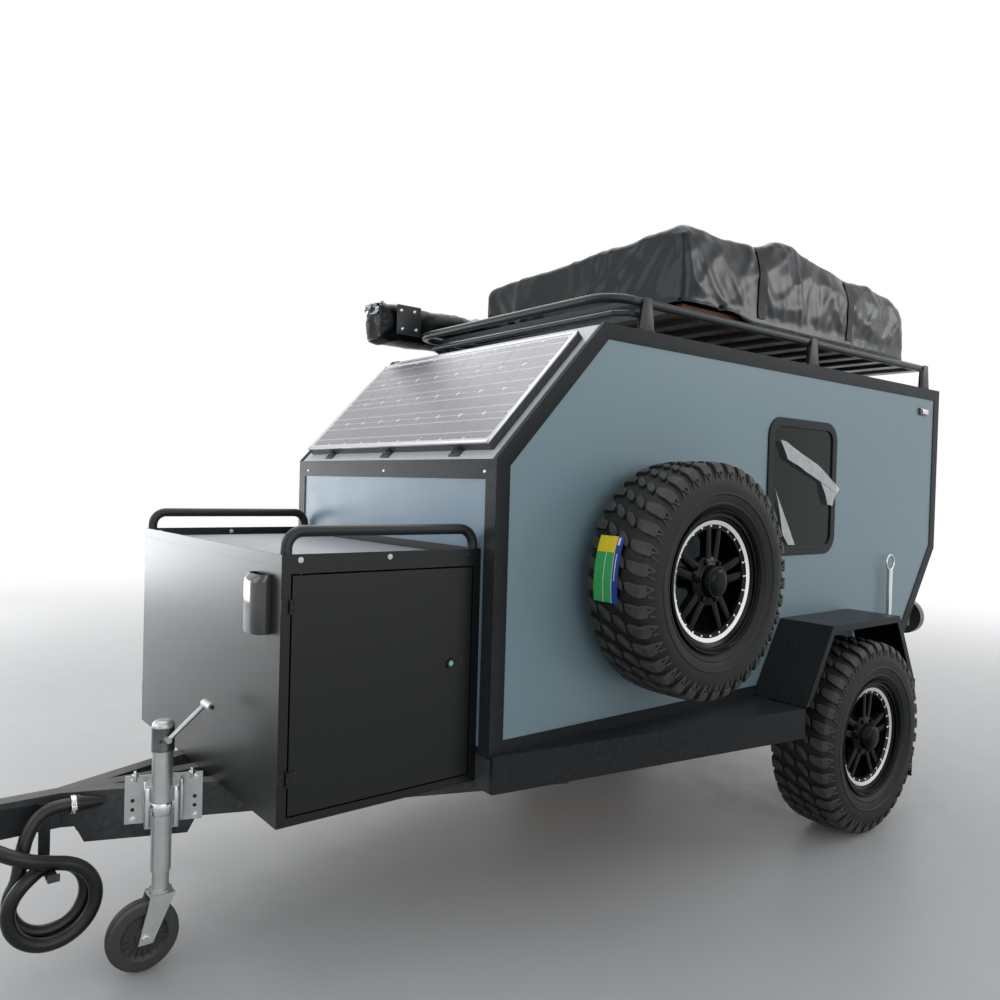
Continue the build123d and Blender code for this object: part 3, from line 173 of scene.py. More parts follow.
def edge_group():
    """Mask of the edges that hands and boots rub, broken up by a noise."""
    tree, given, result = new_group("edge_wear", [("Reach", NUMBER, 0.5)], [("Mask", NUMBER)])
    link = tree.links.new
    shape = node(tree, "ShaderNodeNewGeometry")
    sharp = node(tree, "ShaderNodeMapRange", values={"From Min": 0.52, "From Max": 0.62})
    link(shape.outputs["Pointiness"], sharp.inputs["Value"])
    place = node(tree, "ShaderNodeTexCoord")
    broken = node(
        tree, "ShaderNodeTexNoise", values={"Scale": 60.0, "Detail": 5.0, "Roughness": 0.7}
    )
    link(place.outputs["Object"], broken.inputs["Vector"])
    both = node(tree, "ShaderNodeMath", operation="MULTIPLY")
    link(sharp.outputs[0], both.inputs[0])
    link(broken.outputs["Fac"], both.inputs[1])
    reach = node(tree, "ShaderNodeMath", operation="MULTIPLY", use_clamp=True)
    link(both.outputs[0], reach.inputs[0])
    link(given.outputs["Reach"], reach.inputs[1])
    link(reach.outputs[0], result.inputs["Mask"])
    return tree


def wrinkle_group():
    """Height of crumpled sheeting: sharp ridges, with finer ones across them."""
    tree, given, result = new_group("wrinkles", [("Size", NUMBER, 6.0)], [("Height", NUMBER)])
    link = tree.links.new
    place = node(tree, "ShaderNodeTexCoord")
    folds = node(tree, "ShaderNodeTexNoise", noise_type="RIDGED_MULTIFRACTAL")
    folds.inputs["Detail"].default_value = 3.0
    folds.inputs["Distortion"].default_value = 0.8
    link(place.outputs["Object"], folds.inputs["Vector"])
    link(given.outputs["Size"], folds.inputs["Scale"])
    link(folds.outputs["Fac"], result.inputs["Height"])
    return tree


finish = finish_group()
edge_wear = edge_group()
wrinkles = wrinkle_group()


def new_material(name, metallic=0.0):
    """Material with a Principled shader, its tree and the shader."""
    made = bpy.data.materials.new(name)
    made.use_nodes = True
    shader = made.node_tree.nodes["Principled BSDF"]
    shader.inputs["Metallic"].default_value = metallic
    return made, made.node_tree, shader


def add_finish(tree, shader, color, rough, bump=0.2, round_edge=0.0, **looks):
    """Put the finish group in a material, and return its node and its bump's."""
    coat = node(tree, "ShaderNodeGroup", node_tree=finish)
    coat.inputs["Color"].default_value = (*color, 1)
    coat.inputs["Roughness"].default_value = rough
    for label, value in looks.items():
        coat.inputs[label.replace("_", " ").title()].default_value = value
    relief = node(tree, "ShaderNodeBump", values={"Strength": bump, "Distance": 0.0006})
    tree.links.new(coat.outputs["Height"], relief.inputs["Height"])
    if round_edge:
        rounded = node(tree, "ShaderNodeBevel", samples=4, values={"Radius": round_edge})
        tree.links.new(rounded.outputs["Normal"], relief.inputs["Normal"])
    tree.links.new(coat.outputs["Color"], shader.inputs["Base Color"])
    tree.links.new(coat.outputs["Roughness"], shader.inputs["Roughness"])
    tree.links.new(relief.outputs["Normal"], shader.inputs["Normal"])
    return coat, relief


def painted(
    name, color, rough, metallic=0.0, wear=0.0, wear_color=(0.35, 0.35, 0.36), coat=0.0,
    coat_rough=0.15, gloss=0.5, **looks,
):
    """Paint, powder coat or bare metal, with worn edges where wear is over nothing."""
    made, tree, shader = new_material(name, metallic)
    shader.inputs["Specular IOR Level"].default_value = gloss
    base, _ = add_finish(tree, shader, color, rough, **looks)
    if coat:
        shader.inputs["Coat Weight"].default_value = coat
        shader.inputs["Coat Roughness"].default_value = coat_rough
    if wear:
        rubbed = node(tree, "ShaderNodeGroup", node_tree=edge_wear)
        rubbed.inputs["Reach"].default_value = wear
        bare = node(tree, "ShaderNodeMix", data_type="RGBA")
        bare.inputs[7].default_value = (*wear_color, 1)
        tree.links.new(rubbed.outputs["Mask"], bare.inputs[0])
        tree.links.new(base.outputs["Color"], bare.inputs[6])
        tree.links.new(bare.outputs[2], shader.inputs["Base Color"])
    return made


body_paint = painted(
    "body_paint", (0.172, 0.258, 0.290), 0.42, mottle=0.05, mottle_size=1.4, smudge=0.12, dust=0.12,
    grain_size=420, bump=0.18, round_edge=0.0015, coat=0.12,
)
front_paint = painted(
    "front_paint", (0.172, 0.262, 0.335), 0.4, mottle=0.06, mottle_size=5.0, smudge=0.16, dust=0.1,
    grain_size=260, bump=0.35, round_edge=0.0015,
)
sheet_paint = painted(
    "sheet_paint", (0.56, 0.57, 0.59), 0.36, mottle=0.04, mottle_size=3.0, smudge=0.15,
    grain_size=500, bump=0.15, round_edge=0.001,
)
trim_paint = painted(
    "trim_paint", (0.005, 0.008, 0.009), 0.4, gloss=0.12, mottle=0.08, smudge=0.14,
    grain_size=900, bump=0.35, round_edge=0.002, wear=0.12,
)
frame_paint = painted(
    "frame_paint", (0.009, 0.012, 0.014), 0.36, gloss=0.2, mottle=0.1, smudge=0.15, dust=0.22,
    grain_size=800, bump=0.45, round_edge=0.002, wear=0.3,
)
rack_paint = painted(
    "rack_paint", (0.011, 0.014, 0.016), 0.33, gloss=0.35, mottle=0.1, smudge=0.15, dust=0.12,
    grain_size=900, bump=0.4, round_edge=0.0015, wear=0.2,
)
step_paint = painted(
    "step_paint", (0.005, 0.007, 0.008), 0.34, gloss=0.08, coat=0.05, coat_rough=0.2, mottle=0.05,
    mottle_size=5.0, smudge=0.12, dust=0.02, grain_size=1000, bump=0.3, round_edge=0.002, wear=0.1,
)
locker_paint = painted(
    "locker_paint", (0.003, 0.004, 0.004), 0.3, gloss=0.05, coat=0.66, coat_rough=0.38, mottle=0.1,
    smudge=0.1, dust=0.03, grain_size=650, bump=0.25, round_edge=0.002,
)
# Pale grey of the tray under the lid, with dust: partly a painted reflection of the bright windows
# in it
tray_reflection_paint = painted(
    "tray_reflection_paint", (0.30, 0.32, 0.34), 0.42, mottle=0.12, mottle_size=6.0, smudge=0.2, dust=0.35,
    grain_size=500, bump=0.3, round_edge=0.001,
)
zinc = painted(
    "zinc", (0.50, 0.52, 0.52), 0.42, metallic=0.85, mottle=0.16, mottle_size=26.0, smudge=0.3,
    dust=0.1, grain_size=300, bump=0.3, round_edge=0.001,
)
dark_zinc = painted(
    "dark_zinc", (0.11, 0.115, 0.12), 0.36, metallic=0.75, mottle=0.15, mottle_size=20.0,
    smudge=0.2, grain_size=400, bump=0.2,
)
bright_steel = painted(
    "bright_steel", (0.66, 0.67, 0.68), 0.22, metallic=1.0, mottle=0.06, mottle_size=12.0,
    smudge=0.15, grain_size=900, bump=0.1,
)
hub_paint = painted(
    "hub_paint", (0.006, 0.007, 0.008), 0.25, gloss=0.25, coat=0.2, mottle=0.1, smudge=0.15,
    grain_size=700, bump=0.15, round_edge=0.002,
)
rim_paint = painted(
    "rim_paint", (0.0015, 0.0025, 0.0025), 0.2, gloss=0.06, coat=0.12, mottle=0.1, smudge=0.12,
    dust=0.04, grain_size=600, bump=0.1, round_edge=0.002,
)
polished = painted(
    "polished", (0.78, 0.77, 0.75), 0.2, metallic=1.0, mottle=0.05, mottle_size=30.0, smudge=0.12,
    grain_size=1400, bump=0.1,
)
caster_rubber = painted(
    "caster_rubber", (0.035, 0.036, 0.037), 0.6, mottle=0.15, mottle_size=40.0, dust=0.3,
    grain_size=900, bump=0.5,
)
flap_rubber = painted(
    "flap_rubber", (0.009, 0.010, 0.010), 0.5, gloss=0.3, mottle=0.12, dust=0.15, grain_size=400,
    bump=0.5,
)
conduit_skin = painted(
    "conduit_skin", (0.008, 0.009, 0.010), 0.36, gloss=0.35, mottle=0.15, mottle_size=12.0,
    smudge=0.2, dust=0.1, grain_size=500, bump=0.25,
)
# Near-black painted shade: dark discs and strips that stand for the shade in holes, sockets and
# slots
recess_shade = painted(
    "recess_shade", (0.010, 0.010, 0.011), 0.55, mottle=0.08, grain_size=900, bump=0.3,
)
window_plastic = painted(
    "window_plastic", (0.009, 0.011, 0.013), 0.36, gloss=0.15, mottle=0.06, smudge=0.15,
    grain_size=1100, bump=0.35, round_edge=0.001,
)
lamp_lens = painted(
    "lamp_lens", (0.030, 0.032, 0.034), 0.1, coat=0.6, mottle=0.04, smudge=0.06, grain_size=300,
    bump=0.05,
)
red_lens = painted(
    "red_lens", (0.30, 0.008, 0.006), 0.14, coat=0.6, mottle=0.05, smudge=0.06, grain_size=200,
    bump=0.08,
)
white_cap = painted(
    "white_cap", (0.62, 0.64, 0.64), 0.35, mottle=0.05, grain_size=500, bump=0.1,
)
lock_face = painted(
    "lock_face", (0.22, 0.55, 0.54), 0.3, mottle=0.05, grain_size=900, bump=0.1,
)


def glass_material(name, color, rough, cover):
    """Dark glazing that lets a share of the light through."""
    made, tree, shader = new_material(name)
    add_finish(tree, shader, color, rough, smudge=0.05, grain_size=4, bump=0.05)
    shader.inputs["Alpha"].default_value = cover
    shader.inputs["Specular IOR Level"].default_value = 0.12
    shader.inputs["Coat Weight"].default_value = 0.08
    shader.inputs["Coat Roughness"].default_value = 0.03
    return made


window_glass = glass_material("window_glass", (0.007, 0.011, 0.011), 0.12, 0.95)


def wood_material(name, light, dark, scale):
    """Board with its grain along X."""
    made, tree, shader = new_material(name)
    base, _ = add_finish(
        tree, shader, light, 0.55, mottle=0.1, grain_size=600, bump=0.2, dust=0.1
    )
    place = node(tree, "ShaderNodeTexCoord")
    stretch = node(tree, "ShaderNodeMapping", values={"Scale": (0.12, 1.0, 1.0)})
    tree.links.new(place.outputs["Object"], stretch.inputs["Vector"])
    rings = node(
        tree, "ShaderNodeTexWave", values={"Scale": scale, "Distortion": 9.0, "Detail": 3.0}
    )
    rings.bands_direction = "Y"
    tree.links.new(stretch.outputs[0], rings.inputs["Vector"])
    ring_tint = node(tree, "ShaderNodeMix", data_type="RGBA")
    ring_tint.inputs[6].default_value = (*light, 1)
    ring_tint.inputs[7].default_value = (*dark, 1)
    tree.links.new(rings.outputs["Fac"], ring_tint.inputs[0])
    tree.links.new(ring_tint.outputs[2], base.inputs["Color"])
    return made


def edged_wood(name, light, dark, scale, edge):
    """Board with painted edges: only its faces that look up or down show the wood."""
    made = wood_material(name, light, dark, scale)
    tree = made.node_tree
    shader = tree.nodes["Principled BSDF"]
    wood = shader.inputs["Base Color"].links[0].from_socket
    side = node(tree, "ShaderNodeNewGeometry")
    split = node(tree, "ShaderNodeSeparateXYZ")
    tree.links.new(side.outputs["Normal"], split.inputs[0])
    flat = node(tree, "ShaderNodeMath", operation="ABSOLUTE")
    tree.links.new(split.outputs["Z"], flat.inputs[0])
    paint = node(tree, "ShaderNodeMix", data_type="RGBA")
    paint.inputs[6].default_value = (*edge, 1)
    tree.links.new(flat.outputs[0], paint.inputs[0])
    tree.links.new(wood, paint.inputs[7])
    tree.links.new(paint.outputs[2], shader.inputs["Base Color"])
    return made


# Light tint, dark tint and fineness of the grain
red_board = ((0.30, 0.11, 0.045), (0.17, 0.055, 0.022), 14.0)
pale_board = ((0.42, 0.27, 0.14), (0.28, 0.16, 0.075), 9.0)
board_wood = wood_material("board_wood", *red_board)
galley_wood = wood_material("galley_wood", *pale_board)
floor_wood = edged_wood("floor_wood", *pale_board, edge=(0.006, 0.008, 0.009))


def sheeting(name, color, rough, folds, depth, metallic=0.0, coat=0.0, gloss=0.5):
    """Coated fabric or film, with folds in its relief."""
    made, tree, shader = new_material(name, metallic)
    shader.inputs["Specular IOR Level"].default_value = gloss
    _, relief = add_finish(
        tree, shader, color, rough, mottle=0.12, mottle_size=4.0, smudge=0.22, dust=0.1,
        grain_size=1500, bump=0.35,
    )
    creases = node(tree, "ShaderNodeGroup", node_tree=wrinkles)
    creases.inputs["Size"].default_value = folds
    crumple = node(tree, "ShaderNodeBump", values={"Strength": 0.8, "Distance": depth})
    tree.links.new(creases.outputs["Height"], crumple.inputs["Height"])
    tree.links.new(crumple.outputs["Normal"], relief.inputs["Normal"])
    if coat:
        shader.inputs["Coat Weight"].default_value = coat
        shader.inputs["Coat Roughness"].default_value = 0.14
    return made


# The cover's blue tint is painted light: the blue of the window light, on charcoal fabric
cover_fabric = sheeting(
    "cover_fabric", (0.003, 0.008, 0.012), 0.22, 3.6, 0.016, coat=0.3, gloss=0.16
)
bag_fabric = sheeting(
    "bag_fabric", (0.002, 0.003, 0.004), 0.22, 8.0, 0.014, coat=0.16, gloss=0.12
)
foil = sheeting("foil", (0.34, 0.36, 0.37), 0.22, 16.0, 0.016, metallic=0.9)
strap_webbing = sheeting("strap_webbing", (0.005, 0.006, 0.007), 0.42, 60.0, 0.0008, gloss=0.2)
foam_cloth = sheeting("foam_cloth", (0.28, 0.28, 0.27), 0.8, 9.0, 0.002)

slot_materials = {
    "body_blue_grey": body_paint,
    "sheet_pale": sheet_paint,
    "trim_dark": trim_paint,
    "frame_black": frame_paint,
    "step_black": step_paint,
    "locker_black": locker_paint,
    "lid_grey": locker_paint,
    "lamp_dark": lamp_lens,
    "lamp_red": red_lens,
    "solar_blue": frame_paint,
    "cover_grey": cover_fabric,
    "board_wood": board_wood,
    "galley_wood": galley_wood,
    "mattress_foam": foam_cloth,
    "bag_silver": bag_fabric,
    "window_smoke": window_glass,
    "window_black": window_plastic,
    "tyre_black": flap_rubber,
    "rim_black": rim_paint,
    "hub_dark": hub_paint,
    "coupling_black": frame_paint,
    "zinc_grey": zinc,
    "steel_bright": bright_steel,
    "rubber_grey": caster_rubber,
    "flap_rubber": flap_rubber,
    "conduit_black": conduit_skin,
}
own_materials = {
    "front_wall": front_paint,
    "roof_rack": rack_paint,
    "rack_slats": rack_paint,
    "locker_rails": rack_paint,
    "floor_panel": floor_wood,
}
for part in frame["record"]["subparts"]:
    name = part["node"]
    chosen = own_materials.get(name, slot_materials[part["material_slot"]])
    nodes[name].data.materials.clear()
    nodes[name].data.materials.append(chosen)


# ---- Ways to make pieces


def settle(name, bm, material, body="trailer", sharp=35, merge=0.00002):
    """Turn a bmesh into a finished piece that rides on a body."""
    if merge:
        bmesh.ops.remove_doubles(bm, verts=bm.verts, dist=merge)
    bmesh.ops.recalc_face_normals(bm, faces=bm.faces)
    for face in bm.faces:
        face.smooth = True
    mesh = bpy.data.meshes.new(name)
    bm.to_mesh(mesh)
    bm.free()
    for each in material if isinstance(material, (list, tuple)) else [material]:
        mesh.materials.append(each)
    if sharp:
        mesh.set_sharp_from_angle(angle=radians(sharp))
    made = bpy.data.objects.new(name, mesh)
    bpy.context.scene.collection.objects.link(made)
    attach(made, body)
    return made


def turned(direction):
    """Matrix that turns +Z to a direction."""
    return Vector(direction).to_track_quat("Z", "Y").to_matrix().to_4x4()


def soften(bm, edges, width, steps=2):
    """Bevel a piece's edges, and return all of its vertices."""
    rounded = bmesh.ops.bevel(
        bm, geom=list(edges), offset=width, segments=steps, affect="EDGES", profile=0.5,
        material=-1,
    )
    near = {vert for face in rounded["faces"] for vert in face.verts}
    return list({vert for start in near for edge in start.link_edges for vert in edge.verts})


def add_block(bm, low, high, soft=0.0, steps=2):
    """Box between two corners, its edges softened."""
    low, high = Vector(low), Vector(high)
    made = bmesh.ops.create_cube(bm, size=1.0)["verts"]
    bmesh.ops.scale(bm, vec=high - low, verts=made)
    if soft:
        made = soften(bm, {edge for vert in made for edge in vert.link_edges}, soft, steps)
    bmesh.ops.translate(bm, vec=(low + high) / 2, verts=made)
    return made


def add_rod(bm, start, end, radius, sides=24, soft=0.0):
    """Round or sided rod between two points, its ends softened."""
    start, end = Vector(start), Vector(end)
    made = bmesh.ops.create_cone(
        bm, cap_ends=True, segments=sides, radius1=radius, radius2=radius,
        depth=(end - start).length,
    )["verts"]
    if soft:
        rims = {
            edge
            for vert in made
            for edge in vert.link_edges
            if abs(edge.verts[0].co.z - edge.verts[1].co.z) < 1e-6
        }
        made = soften(bm, rims, soft)
    bmesh.ops.transform(bm, matrix=turned(end - start), verts=made)
    bmesh.ops.translate(bm, vec=(start + end) / 2, verts=made)
    return made


def add_spun(bm, outline, centre, axis, steps=64, closed=True):
    """Ring spun about an axis from (radius, height along the axis) points."""
    turn = Matrix.Translation(centre) @ turned(axis)
    chain = [bm.verts.new((radius, 0, height)) for radius, height in outline]
    edges = [bm.edges.new(pair) for pair in zip(chain, chain[1:])]
    if closed:
        edges.append(bm.edges.new((chain[-1], chain[0])))
    before = set(bm.verts) - set(chain)
    bmesh.ops.spin(
        bm, geom=chain + edges, cent=(0, 0, 0), axis=(0, 0, 1), angle=tau, steps=steps,
        use_merge=True,
    )
    made = [vert for vert in bm.verts if vert not in before]
    bmesh.ops.remove_doubles(bm, verts=made, dist=0.00001)
    made = [vert for vert in bm.verts if vert not in before]
    bmesh.ops.transform(bm, matrix=turn, verts=made)
    return made


def add_dome(bm, foot, direction, radius, height=0.45, sides=12):
    """Domed head of a screw or rivet on a surface."""
    made = bmesh.ops.create_uvsphere(bm, u_segments=sides, v_segments=6, radius=radius)["verts"]
    bmesh.ops.scale(bm, vec=(1, 1, height), verts=made)
    bmesh.ops.transform(bm, matrix=Matrix.Translation(foot) @ turned(direction), verts=made)


def add_bolt(bm, foot, direction, radius, thread=0.0):
    """Hexagon head on its washer, with its thread's end above it where given."""
    foot, direction = Vector(foot), Vector(direction).normalized()
    washer = foot + direction * radius * 0.22
    head = washer + direction * radius * 0.75
    add_rod(bm, foot - direction * 0.0005, washer, radius * 1.3, sides=20)
    add_rod(bm, washer - direction * 0.0002, head, radius, sides=6, soft=radius * 0.1)
    if thread:
        add_rod(bm, head - direction * 0.0002, head + direction * thread, radius * 0.5, sides=12)


def add_net(bm, along, across):
    """Flat grid, its vertices in order: those across it at each place along it."""
    made = bmesh.ops.create_grid(bm, x_segments=along, y_segments=across, size=1.0)["verts"]
    return sorted(made, key=lambda vert: (round(vert.co.x, 4), vert.co.y))


def relax(bm, share):
    """Even out a mesh in all directions."""
    bmesh.ops.smooth_vert(
        bm, verts=bm.verts, factor=share, use_axis_x=True, use_axis_y=True, use_axis_z=True
    )


def smooth_step(value, start, end):
    """From 0 at start to 1 at end, level at both."""
    share = min(max((value - start) / (end - start), 0), 1)
    return share * share * (3 - 2 * share)


# ---- Wiring conduit

conduit = 0.038
feed_points = [
    (-1.657, -0.067, 0.467),
    (-1.701, -0.065, 0.469),
    (-1.742, -0.068, 0.447),
    (-1.768, -0.078, 0.409),
    (-1.783, -0.090, 0.356),
]
tail_points = [
    (-1.757, -0.148, 0.356),
    (-1.811, -0.140, 0.379),
    (-1.860, -0.108, 0.403),
    (-1.911, -0.078, 0.423),
    (-1.965, -0.057, 0.432),
    (-2.020, -0.057, 0.432),
]
coil_middle = Vector((-1.716, -0.118, 0.232))
# Angles round the coil are in degrees, from +X towards +Z
coil_start = 139
coil_sweep = 662
coil_steps = 29


def coil_points():
    """Points round the hanging coil: a small turn at the back, a wider one in front."""
    points = []
    for index in range(coil_steps + 1):
        turn = coil_start + coil_sweep * index / coil_steps
        wide = smooth_step(turn, 470, 640)
        radius = 0.098 + 0.019 * wide - 0.010 * smooth_step(turn, 700, 801)
        radius -= 0.006 * smooth_step(turn, 400, 450) * (1 - smooth_step(turn, 470, 540))
        sideways = 0.0205 - 0.041 * smooth_step(turn, 436, 502)
        angle = radians(turn)
        points.append(coil_middle + Vector((radius * cos(angle), sideways, radius * sin(angle))))
    return points


route = [Vector(point) for point in feed_points]
route += coil_points()
route += [Vector(point) for point in tail_points]
conduit_curve = bpy.data.curves.new("conduit", "CURVE")
conduit_curve.dimensions = "3D"
conduit_curve.bevel_depth = conduit / 2
conduit_curve.bevel_resolution = 6
conduit_curve.resolution_u = 6
conduit_curve.use_fill_caps = True
spline = conduit_curve.splines.new("NURBS")
spline.points.add(len(route) - 1)
for control, point in zip(spline.points, route):
    control.co = (*point, 1)
spline.order_u = 3
spline.use_endpoint_u = True
conduit_curve.materials.append(conduit_skin)
conduit_piece = bpy.data.objects.new("conduit", conduit_curve)
bpy.context.scene.collection.objects.link(conduit_piece)
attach(conduit_piece, "trailer")
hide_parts("conduit_feed", "conduit_coil", "conduit_tail")

# Hose clamp where the conduit meets its gland: its band, its housing and its screw
clamp = bmesh.new()
clamp_middle = Vector((-1.652, -0.0672, 0.4667))
clamp_axis = Vector((-0.99, 0.03, 0.05)).normalized()
clamp_band = [(0.0237, -0.006), (0.0252, -0.0065), (0.0252, 0.0065), (0.0237, 0.006)]
add_spun(clamp, clamp_band, clamp_middle, clamp_axis, steps=40)
add_block(clamp, (-1.660, -0.099, 0.4585), (-1.645, -0.089, 0.4715), soft=0.001)
add_rod(clamp, (-1.6525, -0.094, 0.450), (-1.6525, -0.094, 0.482), 0.004, sides=14, soft=0.0008)
settle("hose_clamp", clamp, bright_steel)


# ---- Floor, sky and lamps


def floor_material():
    """Pale floor that turns into the picture's white ground far from the trailer."""
    made, tree, shader = new_material("floor")
    add_finish(
        tree, shader, (0.50, 0.50, 0.495), 0.42, mottle=0.06, mottle_size=0.9, smudge=0.3,
        grain_size=120, bump=0.2, dust=0.0,
    )
    place = node(tree, "ShaderNodeTexCoord")
    reach = node(tree, "ShaderNodeVectorMath", operation="LENGTH")
    fade = node(
        tree, "ShaderNodeMapRange", interpolation_type="SMOOTHSTEP",
        values={"From Min": 3.2, "From Max": 10.0},
    )
    rays = node(tree, "ShaderNodeLightPath")
    seen = node(tree, "ShaderNodeMath", operation="MAXIMUM")
    share = node(tree, "ShaderNodeMath", operation="MULTIPLY")
    white = node(tree, "ShaderNodeEmission", values={"Color": (1, 1, 1, 1), "Strength": 1.0})
    blend = node(tree, "ShaderNodeMixShader")
    result = tree.nodes["Material Output"]
    link = tree.links.new
    link(place.outputs["Object"], reach.inputs[0])
    link(reach.outputs["Value"], fade.inputs["Value"])
    link(rays.outputs["Is Camera Ray"], seen.inputs[0])
    link(rays.outputs["Is Glossy Ray"], seen.inputs[1])
    link(seen.outputs[0], share.inputs[0])
    link(fade.outputs[0], share.inputs[1])
    link(share.outputs[0], blend.inputs[0])
    link(shader.outputs[0], blend.inputs[1])
    link(white.outputs[0], blend.inputs[2])
    link(blend.outputs[0], result.inputs["Surface"])
    return made


def studio_world():
    """Soft pale sky on the object, white to the camera, to gloss and through glass."""
    made = bpy.data.worlds.new("studio")
    made.use_nodes = True
    tree = made.node_tree
    tree.nodes.clear()
    sky = node(
        tree, "ShaderNodeBackground", values={"Color": (0.90, 0.94, 1.0, 1), "Strength": 0.55}
    )
    white = node(tree, "ShaderNodeBackground", values={"Color": (1, 1, 1, 1), "Strength": 1.0})
    rays = node(tree, "ShaderNodeLightPath")
    either = node(tree, "ShaderNodeMath", operation="MAXIMUM")
    seen = node(tree, "ShaderNodeMath", operation="MAXIMUM")
    choose = node(tree, "ShaderNodeMixShader")
    result = node(tree, "ShaderNodeOutputWorld")
    link = tree.links.new
    link(rays.outputs["Is Camera Ray"], either.inputs[0])
    link(rays.outputs["Is Transmission Ray"], either.inputs[1])
    link(rays.outputs["Is Glossy Ray"], seen.inputs[0])
    link(either.outputs[0], seen.inputs[1])
    link(seen.outputs[0], choose.inputs[0])
    link(sky.outputs[0], choose.inputs[1])
    link(white.outputs[0], choose.inputs[2])
    link(choose.outputs[0], result.inputs["Surface"])
    return made


floor_bm = bmesh.new()
bmesh.ops.create_grid(floor_bm, x_segments=1, y_segments=1, size=40)
floor_mesh = bpy.data.meshes.new("floor")
floor_bm.to_mesh(floor_mesh)
floor_bm.free()
floor_mesh.materials.append(floor_material())
floor = bpy.data.objects.new("floor", floor_mesh)
floor.location = (0, 0, -0.001)
bpy.context.scene.collection.objects.link(floor)
bpy.context.scene.world = studio_world()


def area_light(name, place, target, size, power, tint=(1, 1, 1)):
    """Soft rectangular lamp that faces a point."""
    data = bpy.data.lights.new(name, "AREA")
    data.shape = "RECTANGLE"
    data.size, data.size_y = size
    data.energy = power
    data.color = tint
    lamp = bpy.data.objects.new(name, data)
    lamp.location = place
    lamp.rotation_mode = "QUATERNION"
    lamp.rotation_quaternion = (Vector(target) - Vector(place)).to_track_quat("-Z", "Y")
    bpy.context.scene.collection.objects.link(lamp)
    lamp.visible_camera = False


view_settings = bpy.context.scene.view_settings
view_settings.view_transform = "Standard"
area_light("roof_light", (0.5, 1.2, 6.2), (0, 0, 0.6), (7, 5), 120)
area_light("nose_light", (-6.0, 1.4, 3.4), (-0.6, 0, 1.0), (5, 3.6), 70)
area_light("wall_light", (-3.5, 7.2, 1.25), (-1.2, 0, 0.9), (4.4, 2.2), 165, (0.93, 0.97, 1.0))
area_light("side_light", (-0.5, -7.5, 3.0), (0.3, 0, 1.0), (7, 3), 105)
area_light("tail_light", (6.0, -4.6, 3.9), (0.9, -0.6, 2.0), (3.2, 1.2), 46)
area_light("far_light", (3.4, 6.2, 6.0), (0.6, 0, 1.9), (5.0, 2.4), 105)


# ---- Tyres with their lugs

tyre_radius = 0.402
lug_pitches = 37
# Outline of the tyre over its lugs: distance from its middle plane, radius
tyre_outline = [
    (0.000, 0.4020),
    (0.060, 0.4012),
    (0.098, 0.3975),
    (0.113, 0.3925),
    (0.1215, 0.3800),
    (0.1265, 0.3620),
    (0.1305, 0.3380),
    (0.1322, 0.3170),
    (0.1300, 0.2880),
    (0.1240, 0.2640),
    (0.1130, 0.2470),
    (0.1085, 0.2425),
]


def outline_place(across):
    """Point and outward normal of the tyre's outline, by its length from the middle."""
    side = -1 if across < 0 else 1
    left = abs(across)
    for (start_s, start_r), (end_s, end_r) in zip(tyre_outline, tyre_outline[1:]):
        run = Vector((end_s - start_s, end_r - start_r))
        if left <= run.length or (end_s, end_r) == tyre_outline[-1]:
            point = Vector((start_s, start_r)) + run.normalized() * left
            normal = Vector((-run.y, run.x)).normalized()
            return side * point.x, point.y, side * normal.x, normal.y
        left -= run.length
    return None


# Lugs of one pitch: height over the carcass, then stations across the tread, each
# with its distance from the middle, its place along the tread and its half width
lug_table = [
    # inner row of one half, leaning forward
    (0.0125, [
        (0.006, -0.021, 0.008), (0.017, -0.014, 0.014), (0.030, -0.004, 0.0155),
        (0.043, 0.008, 0.013), (0.052, 0.016, 0.007),
    ]),
    # shoulder lug, from the tread over the shoulder and down the side
    (0.0130, [
        (0.062, 0.006, 0.010), (0.074, 0.012, 0.0165), (0.098, 0.019, 0.0195),
        (0.113, 0.021, 0.0205), (0.128, 0.021, 0.0215), (0.144, 0.021, 0.0205),
    ]),
    # low ribs under each shoulder lug
    (0.0045, [(0.140, 0.006, 0.0045), (0.156, 0.012, 0.0045), (0.174, 0.019, 0.0035)]),
    (0.0045, [(0.140, 0.029, 0.0045), (0.156, 0.023, 0.0045), (0.174, 0.016, 0.0035)]),
    (0.0045, [(0.147, 0.040, 0.004), (0.163, 0.046, 0.004), (0.178, 0.050, 0.003)]),
]
lug_steps = 3  # faces across each lug, along the tread
lug_root = 0.006  # how far a lug reaches into the carcass
carcass_sink = 0.0125  # the carcass under the lugs, against the outline over them
sink_start, sink_end = 0.12, 0.176  # where it comes up to the outline on the side


def add_lug(bm, height, stations, half, tread):
    """One lug: a strip over its stations, thickened inward, its top edges broken."""
    made = add_net(bm, len(stations) - 1, lug_steps)
    faces = list({face for vert in made for face in vert.link_faces})
    for index, vert in enumerate(made):
        across, along, reach = stations[index // (lug_steps + 1)]
        share = 2 * (index % (lug_steps + 1)) / lug_steps - 1
        s, radius = outline_place(half * across)[:2]
        angle = half * (along + share * reach) / tyre_radius
        radial = Vector((sin(angle), 0, cos(angle)))
        vert.co = radial * radius + Vector((0, s, 0))
        vert[tread] = 1.0
    bmesh.ops.recalc_face_normals(bm, faces=faces)
    if faces[0].normal.dot(faces[0].calc_center_median() - Vector((0, half * 0.02, 0))) < 0:
        bmesh.ops.reverse_faces(bm, faces=faces)
    solid = bmesh.ops.solidify(bm, geom=faces, thickness=height + lug_root)
    for part in solid["geom"]:
        if isinstance(part, bmesh.types.BMVert):
            part[tread] = 0.0
    rims = [
        edge
        for edge in {edge for vert in made if vert.is_valid for edge in vert.link_edges}
        if edge.is_valid and edge.verts[0][tread] > 0.5 and edge.verts[1][tread] > 0.5
        and len(edge.link_faces) == 2 and edge.calc_face_angle(0) > 0.9
    ]
    if rims:
        bmesh.ops.bevel(
            bm, geom=rims, offset=min(0.0018, height / 3), segments=1, affect="EDGES",
            profile=0.5, material=-1,
        )


